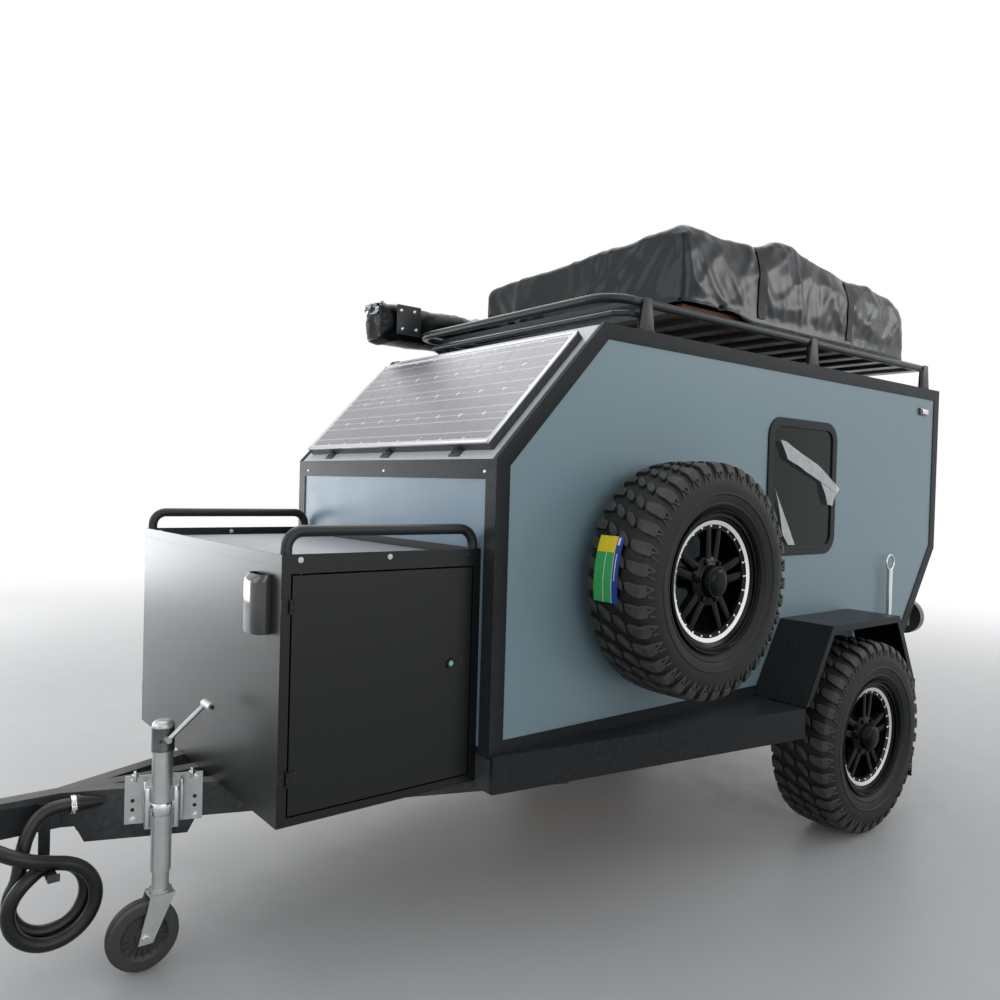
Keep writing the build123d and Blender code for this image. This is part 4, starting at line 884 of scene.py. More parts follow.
def tyre_mesh():
    """Tyre about +Y at the origin, shared by the three tyres."""
    bm = bmesh.new()
    tread = bm.verts.layers.float.new("lug_top")
    half_pitch = Matrix.Rotation(tau / lug_pitches / 2, 3, "Y")
    for half in (-1, 1):
        for height, stations in lug_table:
            start = set(bm.verts)
            add_lug(bm, height, stations, half, tread)
            if half < 0:
                moved = [vert for vert in bm.verts if vert not in start]
                bmesh.ops.rotate(bm, verts=moved, cent=(0, 0, 0), matrix=half_pitch)
    pitch = list(bm.verts) + list(bm.edges) + list(bm.faces)
    bmesh.ops.spin(
        bm, geom=pitch, cent=(0, 0, 0), axis=(0, 1, 0), angle=tau - tau / lug_pitches,
        steps=lug_pitches - 1, use_duplicate=True,
    )
    # Carcass under the lugs, its sides with the rings near the rim, closed inside it
    carcass = []
    for across in (0.0, 0.03, 0.06, 0.09, 0.105, 0.118, 0.132, 0.148, 0.164, 0.176):
        s, radius, normal_s, normal_r = outline_place(across)
        sink = carcass_sink
        if across >= sink_start:
            sink *= max(0, sink_end - across) / (sink_end - sink_start)
        carcass.append((s - normal_s * sink, radius - normal_r * sink))
    carcass += [
        (0.1312, 0.326),
        (0.1322, 0.317),
        (0.1310, 0.300),
        (0.1330, 0.297),
        (0.1328, 0.293),
        (0.1292, 0.290),
        (0.1262, 0.272),
        (0.1235, 0.266),
        (0.1250, 0.263),
        (0.1242, 0.259),
        (0.1190, 0.255),
        (0.1110, 0.2455),
        (0.1080, 0.2415),
    ]
    outline = [(radius, s) for s, radius in carcass]
    outline += [(0.2195, 0.1079), (0.2195, -0.1079)]
    outline += [(radius, -s) for s, radius in reversed(carcass[1:])]
    add_spun(bm, outline, (0, 0, 0), (0, 1, 0), steps=3 * lug_pitches)
    bmesh.ops.recalc_face_normals(bm, faces=bm.faces)
    for face in bm.faces:
        face.smooth = True
    mesh = bpy.data.meshes.new("tyre")
    bm.to_mesh(mesh)
    bm.free()
    mesh.set_sharp_from_angle(angle=radians(32))
    return mesh


rubber_tint = (0.0095, 0.0105, 0.011)


def tyre_material():
    """Black rubber, browner and duller on the tops of its lugs."""
    made, tree, shader = new_material("tyre_rubber")
    shader.inputs["Specular IOR Level"].default_value = 0.25
    base, _ = add_finish(
        tree, shader, rubber_tint, 0.52, mottle=0.16, mottle_size=9.0, smudge=0.2, dust=0.1,
        grain_size=700, bump=0.35,
    )
    lug = node(tree, "ShaderNodeAttribute", attribute_name="lug_top")
    patchy = node(tree, "ShaderNodeTexNoise", values={"Scale": 30.0, "Detail": 4.0})
    place = node(tree, "ShaderNodeTexCoord")
    tree.links.new(place.outputs["Object"], patchy.inputs["Vector"])
    share = node(tree, "ShaderNodeMath", operation="MULTIPLY", use_clamp=True)
    tree.links.new(lug.outputs["Fac"], share.inputs[0])
    tree.links.new(patchy.outputs["Fac"], share.inputs[1])
    brown = node(tree, "ShaderNodeMix", data_type="RGBA")
    brown.inputs[6].default_value = (*rubber_tint, 1)
    brown.inputs[7].default_value = (0.075, 0.073, 0.070, 1)
    tree.links.new(share.outputs[0], brown.inputs[0])
    tree.links.new(brown.outputs[2], base.inputs["Color"])
    return made


spare_middle = (0.097, -0.854, 1.112)
wheel_table = [
    # name of its pieces, body, middle, side that its face looks to
    ("left", "wheel_left", (1.205, -0.838, 0.402), -1),
    ("right", "wheel_right", (1.205, 0.838, 0.402), 1),
    ("spare", "trailer", spare_middle, -1),
]
tyre_shape = tyre_mesh()
tyre_shape.materials.append(tyre_material())
tyre_nodes = {"left": "tyre_left", "right": "tyre_right", "spare": "spare_tyre"}
for name, body, middle, _ in wheel_table:
    shape = tyre_shape.copy()
    # The spare hangs turned by a few degrees against the road wheels
    turn = Matrix.Rotation(radians(4 if name == "spare" else 0), 4, "Y")
    shape.transform(Matrix.Translation(middle) @ turn)
    tyre = bpy.data.objects.new(f"lugged_tyre_{name}", shape)
    bpy.context.scene.collection.objects.link(tyre)
    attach(tyre, body)
    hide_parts(tyre_nodes[name])


# ---- Rims: deep black lip, polished ring with its rivets, five twin spokes

spoke_pairs = 5
spoke_foot, spoke_end = 0.070, 0.186
rim_bolts = 6
rivets = 24
rim_outline = [
    # radius, distance from the wheel's middle towards its face
    (0.2400, 0.1085),
    (0.2412, 0.1150),
    (0.2385, 0.1190),
    (0.2345, 0.1180),
    (0.2300, 0.1090),
    (0.2240, 0.1010),
    (0.2140, 0.0960),
    (0.2060, 0.0930),
    (0.2000, 0.0880),
    (0.1990, 0.0700),
    (0.1940, 0.0600),
    (0.1900, 0.0500),
    (0.1850, -0.0600),
    (0.2080, -0.1000),
    (0.2180, -0.1080),
    (0.2385, -0.1090),
    (0.2400, -0.1085),
    (0.2192, -0.1078),
    (0.2192, 0.1078),
]
face_ring = [(0.176, 0.070), (0.1945, 0.070), (0.1945, 0.0830), (0.176, 0.0830)]
polished_ring = [(0.1905, 0.0830), (0.2050, 0.0895), (0.2043, 0.0925), (0.1905, 0.0890)]
cap_outline = [
    (0.000, 0.1250),
    (0.020, 0.1250),
    (0.0400, 0.1225),
    (0.0480, 0.1160),
    (0.0555, 0.0860),
    (0.0640, 0.0820),
    (0.0800, 0.0800),
    (0.0860, 0.0740),
    (0.0860, 0.0500),
    (0.000, 0.0500),
]


def rim_mesh():
    """Rim about +Y with its face to +Y, and its polished parts as a second material."""
    bm = bmesh.new()
    add_spun(bm, rim_outline, (0, 0, 0), (0, 1, 0), steps=96)
    add_spun(bm, face_ring, (0, 0, 0), (0, 1, 0), steps=96)
    add_spun(bm, cap_outline, (0, 0, 0), (0, 1, 0), steps=8 * rim_bolts, closed=False)
    for pair in range(spoke_pairs):
        turn = Matrix.Rotation(tau * pair / spoke_pairs, 3, "Y")
        for lean in (-1, 1):
            spoke = add_block(
                bm, (-0.0125, 0.052, spoke_foot), (0.0125, 0.081, spoke_end), soft=0.003
            )
            for vert in spoke:
                outward = (vert.co.z - spoke_foot) / (spoke_end - spoke_foot)
                vert.co.x *= 1.15 - 0.2 * outward
                vert.co.x += lean * (0.0175 + 0.012 * outward)
                vert.co.y -= 0.009 * sin(pi * outward)
            bmesh.ops.rotate(bm, verts=spoke, cent=(0, 0, 0), matrix=turn)
    for index in range(rim_bolts):
        angle = tau * (index + 0.5) / rim_bolts
        foot = Vector((0.0690 * sin(angle), 0.0800, 0.0690 * cos(angle)))
        add_bolt(bm, foot, (0, 1, 0), 0.0085)
    for face in bm.faces:
        face.material_index = 0
    before = set(bm.faces)
    add_spun(bm, polished_ring, (0, 0, 0), (0, 1, 0), steps=120)
    for index in range(rivets):
        angle = tau * (index + 0.5) / rivets
        foot = (0.1850 * sin(angle), 0.0828, 0.1850 * cos(angle))
        add_dome(bm, foot, (0, 1, 0), 0.0042, 0.7, 10)
    for face in bm.faces:
        if face not in before:
            face.material_index = 1
    return bm


rim_nodes = {"left": "rim_left", "right": "rim_right", "spare": "spare_rim"}
for name, body, middle, side in wheel_table:
    bm = rim_mesh()
    if side < 0:
        half_turn = Matrix.Rotation(pi, 3, "Z")
        bmesh.ops.rotate(bm, verts=bm.verts, cent=(0, 0, 0), matrix=half_turn)
    turn = Matrix.Rotation(radians(-5 * side), 3, "Y")
    bmesh.ops.rotate(bm, verts=bm.verts, cent=(0, 0, 0), matrix=turn)
    bmesh.ops.translate(bm, vec=middle, verts=bm.verts)
    rim = settle(f"spoked_rim_{name}", bm, [rim_paint, polished], body, sharp=38)
    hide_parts(rim_nodes[name])


# ---- Solar panel's cells, frame and clips

slope_foot = Vector((-0.625, 0, 1.493))
slope_along = Vector((0.443, 0, 0.473)).normalized()
slope_out = Vector((-slope_along.z, 0, slope_along.x))
solar_start, solar_run, solar_half, solar_top = 0.040, 0.541, 0.627, 0.031
solar_end = solar_start + solar_run
frame_lip = 0.012
cell_rows, cell_columns = 4, 9
cell_tint = (0.115, 0.105, 0.125)


def on_slope(along, across, out):
    """Point on the front slope: up the slope, towards +Y, and off its face."""
    return slope_foot + slope_along * along + Vector((0, across, 0)) + slope_out * out


slope_turn = Matrix((slope_along, Vector((0, 1, 0)), slope_out)).transposed().to_4x4()


def slope_block(bm, low, high, soft=0.0):
    """Box in the slope's own directions: up it, across it and off it."""
    made = add_block(bm, low, high, soft=soft)
    bmesh.ops.transform(bm, matrix=Matrix.Translation(slope_foot) @ slope_turn, verts=made)
    return made


def cell_material():
    """Silicon cell with its two busbars, by the cell's own place."""
    made, tree, shader = new_material("solar_cell")
    base, _ = add_finish(
        tree, shader, cell_tint, 0.34, mottle=0.10, mottle_size=7.0, smudge=0.1, dust=0.1,
        grain_size=40, bump=0.05,
    )
    spot = node(tree, "ShaderNodeUVMap", uv_map="cell_place")
    split = node(tree, "ShaderNodeSeparateXYZ")
    tree.links.new(spot.outputs[0], split.inputs[0])
    lines = node(tree, "ShaderNodeMath", operation="MULTIPLY", values={1: 2.0})
    tree.links.new(split.outputs["X"], lines.inputs[0])
    phase = node(tree, "ShaderNodeMath", operation="FRACT")
    tree.links.new(lines.outputs[0], phase.inputs[0])
    centre = node(tree, "ShaderNodeMath", operation="SUBTRACT", values={1: 0.5})
    tree.links.new(phase.outputs[0], centre.inputs[0])
    away = node(tree, "ShaderNodeMath", operation="ABSOLUTE")
    tree.links.new(centre.outputs[0], away.inputs[0])
    bar = node(tree, "ShaderNodeMath", operation="LESS_THAN", values={1: 0.030})
    tree.links.new(away.outputs[0], bar.inputs[0])
    tint = node(tree, "ShaderNodeMix", data_type="RGBA")
    tint.inputs[6].default_value = (*cell_tint, 1)
    tint.inputs[7].default_value = (0.55, 0.55, 0.57, 1)
    tree.links.new(bar.outputs[0], tint.inputs[0])
    tree.links.new(tint.outputs[2], base.inputs["Color"])
    shader.inputs["Coat Weight"].default_value = 0.8
    shader.inputs["Coat Roughness"].default_value = 0.2
    return made


solar_cell = cell_material()
solar_backing = painted(
    "solar_backing", (0.66, 0.66, 0.68), 0.3, coat=0.3, mottle=0.05, dust=0.1, grain_size=40,
    bump=0.05,
)
solar_frame_paint = painted(
    "solar_frame_paint", (0.60, 0.61, 0.62), 0.3, metallic=0.8, mottle=0.05, smudge=0.15,
    grain_size=1200, bump=0.2, round_edge=0.001,
)

cells = bmesh.new()
cell_uv = cells.loops.layers.uv.new("cell_place")
cell_gap = 0.004
cell_margin = 0.010
corner_cut = 0.009
field_run = solar_run - 2 * frame_lip - 2 * cell_margin
field_width = 2 * (solar_half - frame_lip) - 2 * cell_margin
cell_run = field_run / cell_rows - cell_gap
cell_width = field_width / cell_columns - cell_gap
for row in range(cell_rows):
    for column in range(cell_columns):
        along = solar_start + frame_lip + cell_margin + field_run * (row + 0.5) / cell_rows
        across = -field_width / 2 + field_width * (column + 0.5) / cell_columns
        earlier = set(cells.verts)
        corners = bmesh.ops.create_grid(cells, x_segments=1, y_segments=1, size=0.5)["verts"]
        bmesh.ops.bevel(
            cells, geom=corners, offset=0.1, segments=1, affect="VERTICES", profile=0.5,
            material=-1,
        )
        for vert in set(cells.verts) - earlier:
            x, y = vert.co.x, vert.co.y
            x = x if abs(x) > 0.49 else copysign(0.5 - corner_cut / cell_run, x)
            y = y if abs(y) > 0.49 else copysign(0.5 - corner_cut / cell_width, y)
            for loop in vert.link_loops:
                loop[cell_uv].uv = (x + 0.5, y + 0.5)
            vert.co = on_slope(along + x * cell_run, across + y * cell_width, solar_top + 0.0009)
settle("solar_cells", cells, solar_cell, merge=0, sharp=0)

backing = bmesh.new()
backing_edge = frame_lip - 0.002
slope_block(
    backing,
    (solar_start + backing_edge, -solar_half + backing_edge, solar_top - 0.004),
    (solar_end - backing_edge, solar_half - backing_edge, solar_top + 0.0004),
)
settle("solar_backing", backing, solar_backing)
lips = bmesh.new()
proud = 0.0005
for low, high in (
    ((solar_start - proud, -solar_half - proud), (solar_start + frame_lip, solar_half + proud)),
    ((solar_end - frame_lip, -solar_half - proud), (solar_end + proud, solar_half + proud)),
    ((solar_start, -solar_half - proud), (solar_end, -solar_half + frame_lip)),
    ((solar_start, solar_half - frame_lip), (solar_end, solar_half + proud)),
):
    slope_block(lips, (*low, solar_top - 0.004), (*high, solar_top + 0.0022), soft=0.0008)
settle("solar_frame_lip", lips, solar_frame_paint)

# Clips that hold the panel's frame: a foot on the slope and a leaf up the frame
clips = bmesh.new()
clip_half = 0.03
for across in (-0.44, 0.0, 0.44):
    for along, away in ((solar_start, -1), (solar_end, 1)):
        for reach, low, high in ((0.028, 0.0, 0.004), (0.004, 0.003, 0.024)):
            near, far = sorted((along, along + away * reach))
            slope_block(
                clips, (near, across - clip_half, low), (far, across + clip_half, high),
                soft=0.0008,
            )
        for step in (-0.016, 0.016):
            spot = on_slope(along + away * 0.016, across + step, 0.004)
            add_dome(clips, spot, slope_out, 0.005, 0.6)
settle("solar_clips", clips, frame_paint)


# ---- Tent under its cover, awning bag and mattress


def evaluated(made):
    """A piece as its modifiers leave it."""
    return made.evaluated_get(bpy.context.evaluated_depsgraph_get())


def settled_cloth(
    name, bm, voxel, steps, cap, pressure=0.0, gravity=0.0, slack=0.0, pinned=None, over=None
):
    """Even mesh of a shape after its fabric has settled, no point moved past a cap."""
    mesh = bpy.data.meshes.new(name)
    bm.to_mesh(mesh)
    bm.free()
    work = bpy.data.objects.new(name + "_work", mesh)
    scene = bpy.context.scene
    scene.collection.objects.link(work)
    remesh = work.modifiers.new("even", "REMESH")
    remesh.mode = "VOXEL"
    remesh.voxel_size = voxel
    even = bpy.data.meshes.new_from_object(evaluated(work))
    work.modifiers.clear()
    work.data = even
    if pinned:
        held = [vert.index for vert in even.vertices if pinned(vert.co)]
        work.vertex_groups.new(name="pinned").add(held, 1.0, "REPLACE")
    blocker = None
    if over:
        blocker_mesh = bpy.data.meshes.new(name + "_inside")
        over.to_mesh(blocker_mesh)
        blocker = bpy.data.objects.new(name + "_inside", blocker_mesh)
        scene.collection.objects.link(blocker)
        blocker.modifiers.new("solid", "COLLISION")
        blocker.collision.thickness_outer = 0.004
    fabric = work.modifiers.new("fabric", "CLOTH")
    fabric.point_cache.frame_end = steps
    cloth = fabric.settings
    cloth.quality = 6
    cloth.mass = 0.4
    cloth.tension_stiffness = 18
    cloth.compression_stiffness = 12
    cloth.shear_stiffness = 6
    cloth.bending_stiffness = 0.6
    cloth.air_damping = 2
    cloth.effector_weights.gravity = gravity
    cloth.shrink_min = -slack
    if pressure:
        cloth.use_pressure = True
        cloth.uniform_pressure_force = pressure
    if pinned:
        cloth.vertex_group_mass = "pinned"
    for step in range(1, steps + 1):
        scene.frame_set(step)
    moved = evaluated(work).to_mesh()
    places = [vert.co.copy() for vert in moved.vertices]
    evaluated(work).to_mesh_clear()
    for vert, place in zip(even.vertices, places):
        step = place - vert.co
        if step.length > cap:
            step *= cap / step.length
        vert.co += step
    scene.frame_set(1)
    if blocker:
        bpy.data.objects.remove(blocker)
    settled = bmesh.new()
    settled.from_mesh(even)
    bpy.data.objects.remove(work)
    return settled


def shaped_box(cuts, shape):
    """Closed box with an even net on each side, each point placed by a function."""
    bm = bmesh.new()
    bmesh.ops.create_cube(bm, size=1.0)
    bmesh.ops.subdivide_edges(bm, edges=list(bm.edges), cuts=cuts, use_grid_fill=True)
    for vert in bm.verts:
        vert.co = shape(*vert.co)
    return bm


def along_table(value, table):
    """Height between the rows of a table of place and height."""
    for (start, low), (end, high) in zip(table, table[1:]):
        if value <= end:
            return low + (high - low) * smooth_step(value, start, end)
    return table[-1][1]


tent_low = Vector((0.322, -0.600, 2.131))
tent_high = Vector((2.036, 0.600, 2.432))
# Ridge of the bundle along the trailer: place along X, height of its near edge
ridge_table = [
    (0.32, 2.424),
    (0.57, 2.412),
    (0.77, 2.420),
    (1.00, 2.478),
    (1.28, 2.434),
    (1.43, 2.418),
    (1.96, 2.392),
    (2.05, 2.375),
]
strap_places = (0.80, 1.50)
strap_half_width = 0.025
bundle_foot = tent_low.z + 0.001
bundle_soft = 0.018
cover_gap = 0.007


def bundle_point(x, y, z, grow):
    """Point of the folded tent from its place in a unit box, grown by a gap."""
    along = tent_low.x - grow + (x + 0.5) * (tent_high.x - tent_low.x + 2 * grow)
    across = tent_low.y - grow + (y + 0.5) * (tent_high.y - tent_low.y + 2 * grow)
    rise = z + 0.5
    far = y + 0.5
    top = along_table(along, ridge_table) - 0.045 * far - 0.012 * sin(pi * far)
    swell = noise.noise(Vector((along * 3.1, across * 3.7, 4.0)))
    top += 0.016 * swell * sin(pi * min(far * 2, 1) / 2)
    top += 0.007 * noise.noise(Vector((along * 9.0, across * 8.0, 9.0)))
    for strap in strap_places:
        top -= 0.012 * max(0, 1 - abs(along - strap) / 0.12)
    # The tail end slopes, the near side leans in, and its middle bulges
    lean = rise * rise
    along -= 0.070 * lean * smooth_step(along, 1.85, 2.04)
    along += 0.008 * lean * (1 - smooth_step(along, 0.32, 0.5))
    side = -1 if far < 0.5 else 1
    edge = abs(2 * far - 1) ** 8
    across -= side * edge * (0.020 * lean - 0.012 * sin(pi * rise))
    across += side * edge * 0.008 * noise.noise(Vector((along * 5.0, side * 3.0, rise * 2.0)))
    place = Vector((along, across, bundle_foot + rise * (top + grow - bundle_foot)))
    # Its edges are rounded, apart from those that lie on the board
    inset = grow - bundle_soft
    core = Vector((
        min(max(place.x, tent_low.x - inset), tent_high.x + inset),
        min(max(place.y, tent_low.y - inset), tent_high.y + inset),
        min(place.z, top + inset),
    ))
    off = place - core
    if off.length > bundle_soft:
        place = core + off.normalized() * bundle_soft
    return place


def crease(place):
    """Sharp ridges, from 0 between them to 1 along them."""
    return max(1 - 5 * abs(noise.noise(place)), 0) ** 1.5


def fold_height(place):
    """Height of a cover's creases: broad ones, others across them and fine ones."""
    x, y, z = place
    broad = crease(Vector((x * 2.6 + z * 2.0, y * 2.6, z * 1.4)))
    cross = crease(Vector((x * 4.6 - z * 4.0, y * 4.6 + 7.0, z * 2.4)))
    fine = crease(place * 8.5 + Vector((3.0, 0.0, 0.0)))
    return 0.0050 * broad + 0.0036 * cross + 0.0018 * fine


def add_folds(bm, low_z, reach):
    """Raise a cover's folds along its normals, none where it lies on what carries it."""
    bm.normal_update()
    for vert in bm.verts:
        share = smooth_step(vert.co.z, low_z + 0.01, low_z + 0.07)
        vert.co += vert.normal * (fold_height(vert.co) - 0.001) * reach * share


tent_bundle = shaped_box(25, lambda x, y, z: bundle_point(x, y, z, 0.0))
cover_start = shaped_box(25, lambda x, y, z: bundle_point(x, y, z, cover_gap))
cover = settled_cloth(
    "tent_cover", cover_start, 0.019, 26, 0.03, gravity=1.0, slack=0.035, over=tent_bundle,
    pinned=lambda place: place.z < tent_low.z + 0.016,
)
tent_bundle.free()
bottom = [
    face
    for face in cover.faces
    if face.calc_center_median().z < tent_low.z + 0.011 and abs(face.normal.z) > 0.7
]
bmesh.ops.delete(cover, geom=bottom, context="FACES")
relax(cover, 0.35)
add_folds(cover, tent_low.z, 1.5)
flat_area = sum(face.calc_area() for face in cover.faces)
hem_edges = [edge for edge in cover.edges if len(edge.link_faces) == 1]
hem = bmesh.ops.extrude_edge_only(cover, edges=hem_edges)
hem_verts = [part for part in hem["geom"] if isinstance(part, bmesh.types.BMVert)]
hem_drop, hem_out = 0.036, 0.003
for vert in hem_verts:
    # The hem hangs over the board's edge, apart from an arch behind the near front corner
    near = smooth_step(-vert.co.y, 0.46, 0.56)
    behind = smooth_step(vert.co.x, 0.60, 0.76)
    vert.co.z = bundle_foot - hem_drop * max(1 - near, behind)
    vert.co.y += hem_out if vert.co.y > 0 else -hem_out
    vert.co.x += hem_out if vert.co.x > 1.0 else -hem_out
cover_piece = settle("tent_cover", cover, cover_fabric, sharp=60)
shell = cover_piece.modifiers.new("smooth", "SUBSURF")
shell.levels = shell.render_levels = 1
fabric_thickness = cover_piece.modifiers.new("fabric", "SOLIDIFY")
fabric_thickness.thickness = 0.0016
fabric_thickness.offset = -1
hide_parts("roof_tent")


def tent_strap(name, surface, place):
    """Strap over the tent in a plane across the trailer, a little over the cover's face."""
    tree = BVHTree.FromPolygons(
        [vert.co[:] for vert in surface.vertices], [face.vertices[:] for face in surface.polygons]
    )
    band = bmesh.new()
    steps = 90
    for index, vert in enumerate(add_net(band, steps, 2)):
        # Over the tent from side to side, its ends down at the board
        angle = radians(181 - 182 * (index // 3) / steps)
        across = (index % 3 - 1) * strap_half_width
        outward = Vector((0, cos(angle), sin(angle)))
        start = Vector((place + across, 0.0, 2.14)) + outward * 1.4
        hit = tree.ray_cast(start, -outward)[0]
        vert.co = hit + outward * 0.0025 if hit else start - outward * 1.4
    bmesh.ops.smooth_vert(band, verts=band.verts, factor=0.5, use_axis_y=True, use_axis_z=True)
    bmesh.ops.recalc_face_normals(band, faces=band.faces)
    bmesh.ops.solidify(band, geom=list(band.faces), thickness=-0.002)
    settle(name, band, strap_webbing, sharp=50)


for number, place in enumerate(strap_places, start=1):
    tent_strap(f"tent_strap_{number}", cover_piece.data, place)


bag_low, bag_high = (Vector(corner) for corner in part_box("awning_bag"))
bag_inset = 0.006
round_share = 0.62


def bag_point(x, y, z):
    """Point of the rolled awning in its bag from its place in a unit box."""
    centre = (bag_low + bag_high) / 2
    half_y = (bag_high.y - bag_low.y) / 2 - bag_inset
    half_z = (bag_high.z - bag_low.z) / 2 - bag_inset
    along = bag_low.x + bag_inset + (x + 0.5) * (bag_high.x - bag_low.x - 2 * bag_inset)
    square = Vector((y, z)) * 2
    circle = Vector((0, 0))
    if y or z:
        circle = Vector((y, z)).normalized() * max(abs(y), abs(z)) * 2
    point = square * (1 - round_share) + circle * round_share
    swell = 1 - 0.05 * abs(2 * x) ** 6 + 0.04 * noise.noise(Vector((along * 2.6, 7.0, 0.0)))
    return Vector((along, centre.y + point.x * half_y * swell, centre.z + point.y * half_z * swell))


bag = settled_cloth(
    "awning_cover", shaped_box(17, bag_point), 0.014, 14, 0.010, pressure=2.0, slack=0.03,
)
relax(bag, 0.3)
add_folds(bag, -1.0, 1.5)
bag_piece = settle("awning_cover", bag, bag_fabric, sharp=50)
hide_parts("awning_bag")

bed_low, bed_high = (Vector(corner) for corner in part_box("mattress"))


def bed_point(x, y, z):
    """Point of the mattress from its place in a unit box, a little under its size."""
    centre = (bed_low + bed_high) / 2
    size = bed_high - bed_low
    return Vector((
        centre.x + x * (size.x - 0.012),
        centre.y + y * (size.y - 0.012),
        bed_low.z + 0.002 + (z + 0.5) * (size.z - 0.014),
    ))


bed = settled_cloth("bed_pad", shaped_box(15, bed_point), 0.022, 14, 0.012, pressure=3.0)
for vert in bed.verts:
    vert.co.z = max(vert.co.z, bed_low.z + 0.0005)
bed_piece = settle("bed_pad", bed, foam_cloth, sharp=60)
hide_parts("mattress")


# ---- Jockey wheel: bracket's channels and bolts, tube's collar, ribbed wheel

tube_axis = Vector((-1.445, -0.200, 0.456))
rail_along = Vector((cos(radians(21.3)), -sin(radians(21.3)), 0))
rail_out = Vector((rail_along.y, -rail_along.x, 0))
tube_out = 0.0795


def on_bracket(along, out, rise):
    """Point by the bracket: along the rail from the tube, off the rail's face, up."""
    return tube_axis + rail_along * along + rail_out * (out - tube_out) + Vector((0, 0, rise))


# Uprights on each side of the tube: place along the rail, off it, half height, radius,
# sides and softened edge
upright_table = [
    (0.0385, 0.077, 0.0575, 0.0088, 24, 0.003),
    (0.0500, 0.030, 0.0600, 0.0060, 16, 0.002),
]
# Rounded bands about the upright tube, as radius and height
bracket_band = [
    (0.0288, -0.017), (0.0308, -0.018), (0.0325, -0.015),
    (0.0325, 0.015), (0.0308, 0.018), (0.0288, 0.017),
]
collar_band = [
    (0.0305, 0.622), (0.0321, 0.6235), (0.0321, 0.6295),
    (0.0317, 0.6305), (0.0317, 0.6905), (0.0305, 0.692),
]
channels = bmesh.new()
for side in (-1, 1):
    for along, out, half_height, radius, sides, soft in upright_table:
        foot = on_bracket(side * along, out, -half_height)
        add_rod(channels, foot, on_bracket(side * along, out, half_height), radius, sides, soft)
add_spun(channels, bracket_band, tube_axis, (0, 0, 1), steps=48)
settle("bracket_channels", channels, bright_steel)
fixings = bmesh.new()
# The bracket's holes are dark discs of painted shade on its face
holes = bmesh.new()
bolt_along = 0.086
for side in (-1, 1):
    for rise in (-0.058, 0.058):
        foot = on_bracket(side * bolt_along, 0.006, rise)
        add_bolt(fixings, foot, rail_out, 0.0078, thread=0.004)
    top = on_bracket(side * 0.078, 0.022, 0.060)
    nut_foot, nut_top, thread_top = (top + Vector((0, 0, rise)) for rise in (0.013, 0.021, 0.030))
    add_rod(fixings, top, thread_top, 0.0048, sides=14, soft=0.0008)
    add_rod(fixings, nut_foot, nut_top, 0.0095, sides=6, soft=0.001)
    for rise in (-0.029, -0.002):
        face, above = (on_bracket(side * bolt_along, out, rise) for out in (0.0056, 0.0063))
        add_rod(holes, face, above, 0.0058, sides=20)
settle("bracket_bolts", fixings, bright_steel)
settle("bracket_holes", holes, recess_shade)

collar = bmesh.new()
add_spun(collar, collar_band, (tube_axis.x, tube_axis.y, 0), (0, 0, 1), steps=56)
settle("jockey_collar", collar, dark_zinc)
# Dark discs of painted shade: the socket in the crank's end, and the hole in the tube's collar
crank_bits = bmesh.new()
crank_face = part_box("jockey_tube")[0][1]
add_rod(
    crank_bits, (-1.340, crank_face + 0.0006, 0.752), (-1.340, crank_face - 0.0008, 0.752), 0.0072,
    sides=6,
)
add_rod(crank_bits, (-1.460, -0.2290, 0.655), (-1.4605, -0.2302, 0.655), 0.0040, sides=16)
settle("crank_socket", crank_bits, recess_shade)

wheel_low, wheel_high = (Vector(corner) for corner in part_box("jockey_wheel"))
wheel_middle = (wheel_low + wheel_high) / 2
caster_ribs = 18
caster_outline = [
    # radius, distance from the wheel's middle plane
    (0.0095, 0.0235),
    (0.0240, 0.0235),
    (0.0260, 0.0150),
    (0.0560, 0.0110),
    (0.0640, 0.0190),
    (0.0660, 0.0235),
    (0.0840, 0.0238),
    (0.0930, 0.0215),
    (0.0975, 0.0165),
    (0.0982, 0.0120),
    (0.0950, 0.0105),
    (0.0950, 0.0080),
    (0.0998, 0.0068),
    (0.0999, 0.0022),
    (0.0960, 0.0012),
]
other_half = [(radius, -height) for radius, height in reversed(caster_outline)]
caster = bmesh.new()
add_spun(caster, caster_outline + other_half, wheel_middle, (0, 1, 0), steps=72)
for index in range(caster_ribs):
    for flip in (pi, 0):
        turn = Matrix.Rotation(tau * index / caster_ribs, 3, "Y") @ Matrix.Rotation(flip, 3, "Z")
        rib = add_block(caster, (-0.0016, 0.0100, 0.0250), (0.0016, 0.0180, 0.0640))
        bmesh.ops.rotate(caster, verts=rib, cent=(0, 0, 0), matrix=turn)
        bmesh.ops.translate(caster, vec=wheel_middle, verts=rib)
caster_piece = settle(
    "ribbed_caster", caster, caster_rubber, "jockey_wheel", sharp=32
)
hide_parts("jockey_wheel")
axle_nuts = bmesh.new()
fork_low, fork_high = (Vector(corner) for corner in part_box("jockey_fork"))
for side, face_y in ((-1, fork_low.y), (1, fork_high.y)):
    seat = Vector((wheel_middle.x, face_y - side * 0.0060, wheel_middle.z))
    add_rod(axle_nuts, seat, seat + Vector((0, side * 0.0015, 0)), 0.0150, sides=24)
    add_rod(axle_nuts, seat, seat + Vector((0, side * 0.0056, 0)), 0.0110, sides=6, soft=0.001)
settle("caster_nuts", axle_nuts, bright_steel, "jockey_fork")


# ---- Front locker: lid's bolts and floor, lock, hinge screws, lamp

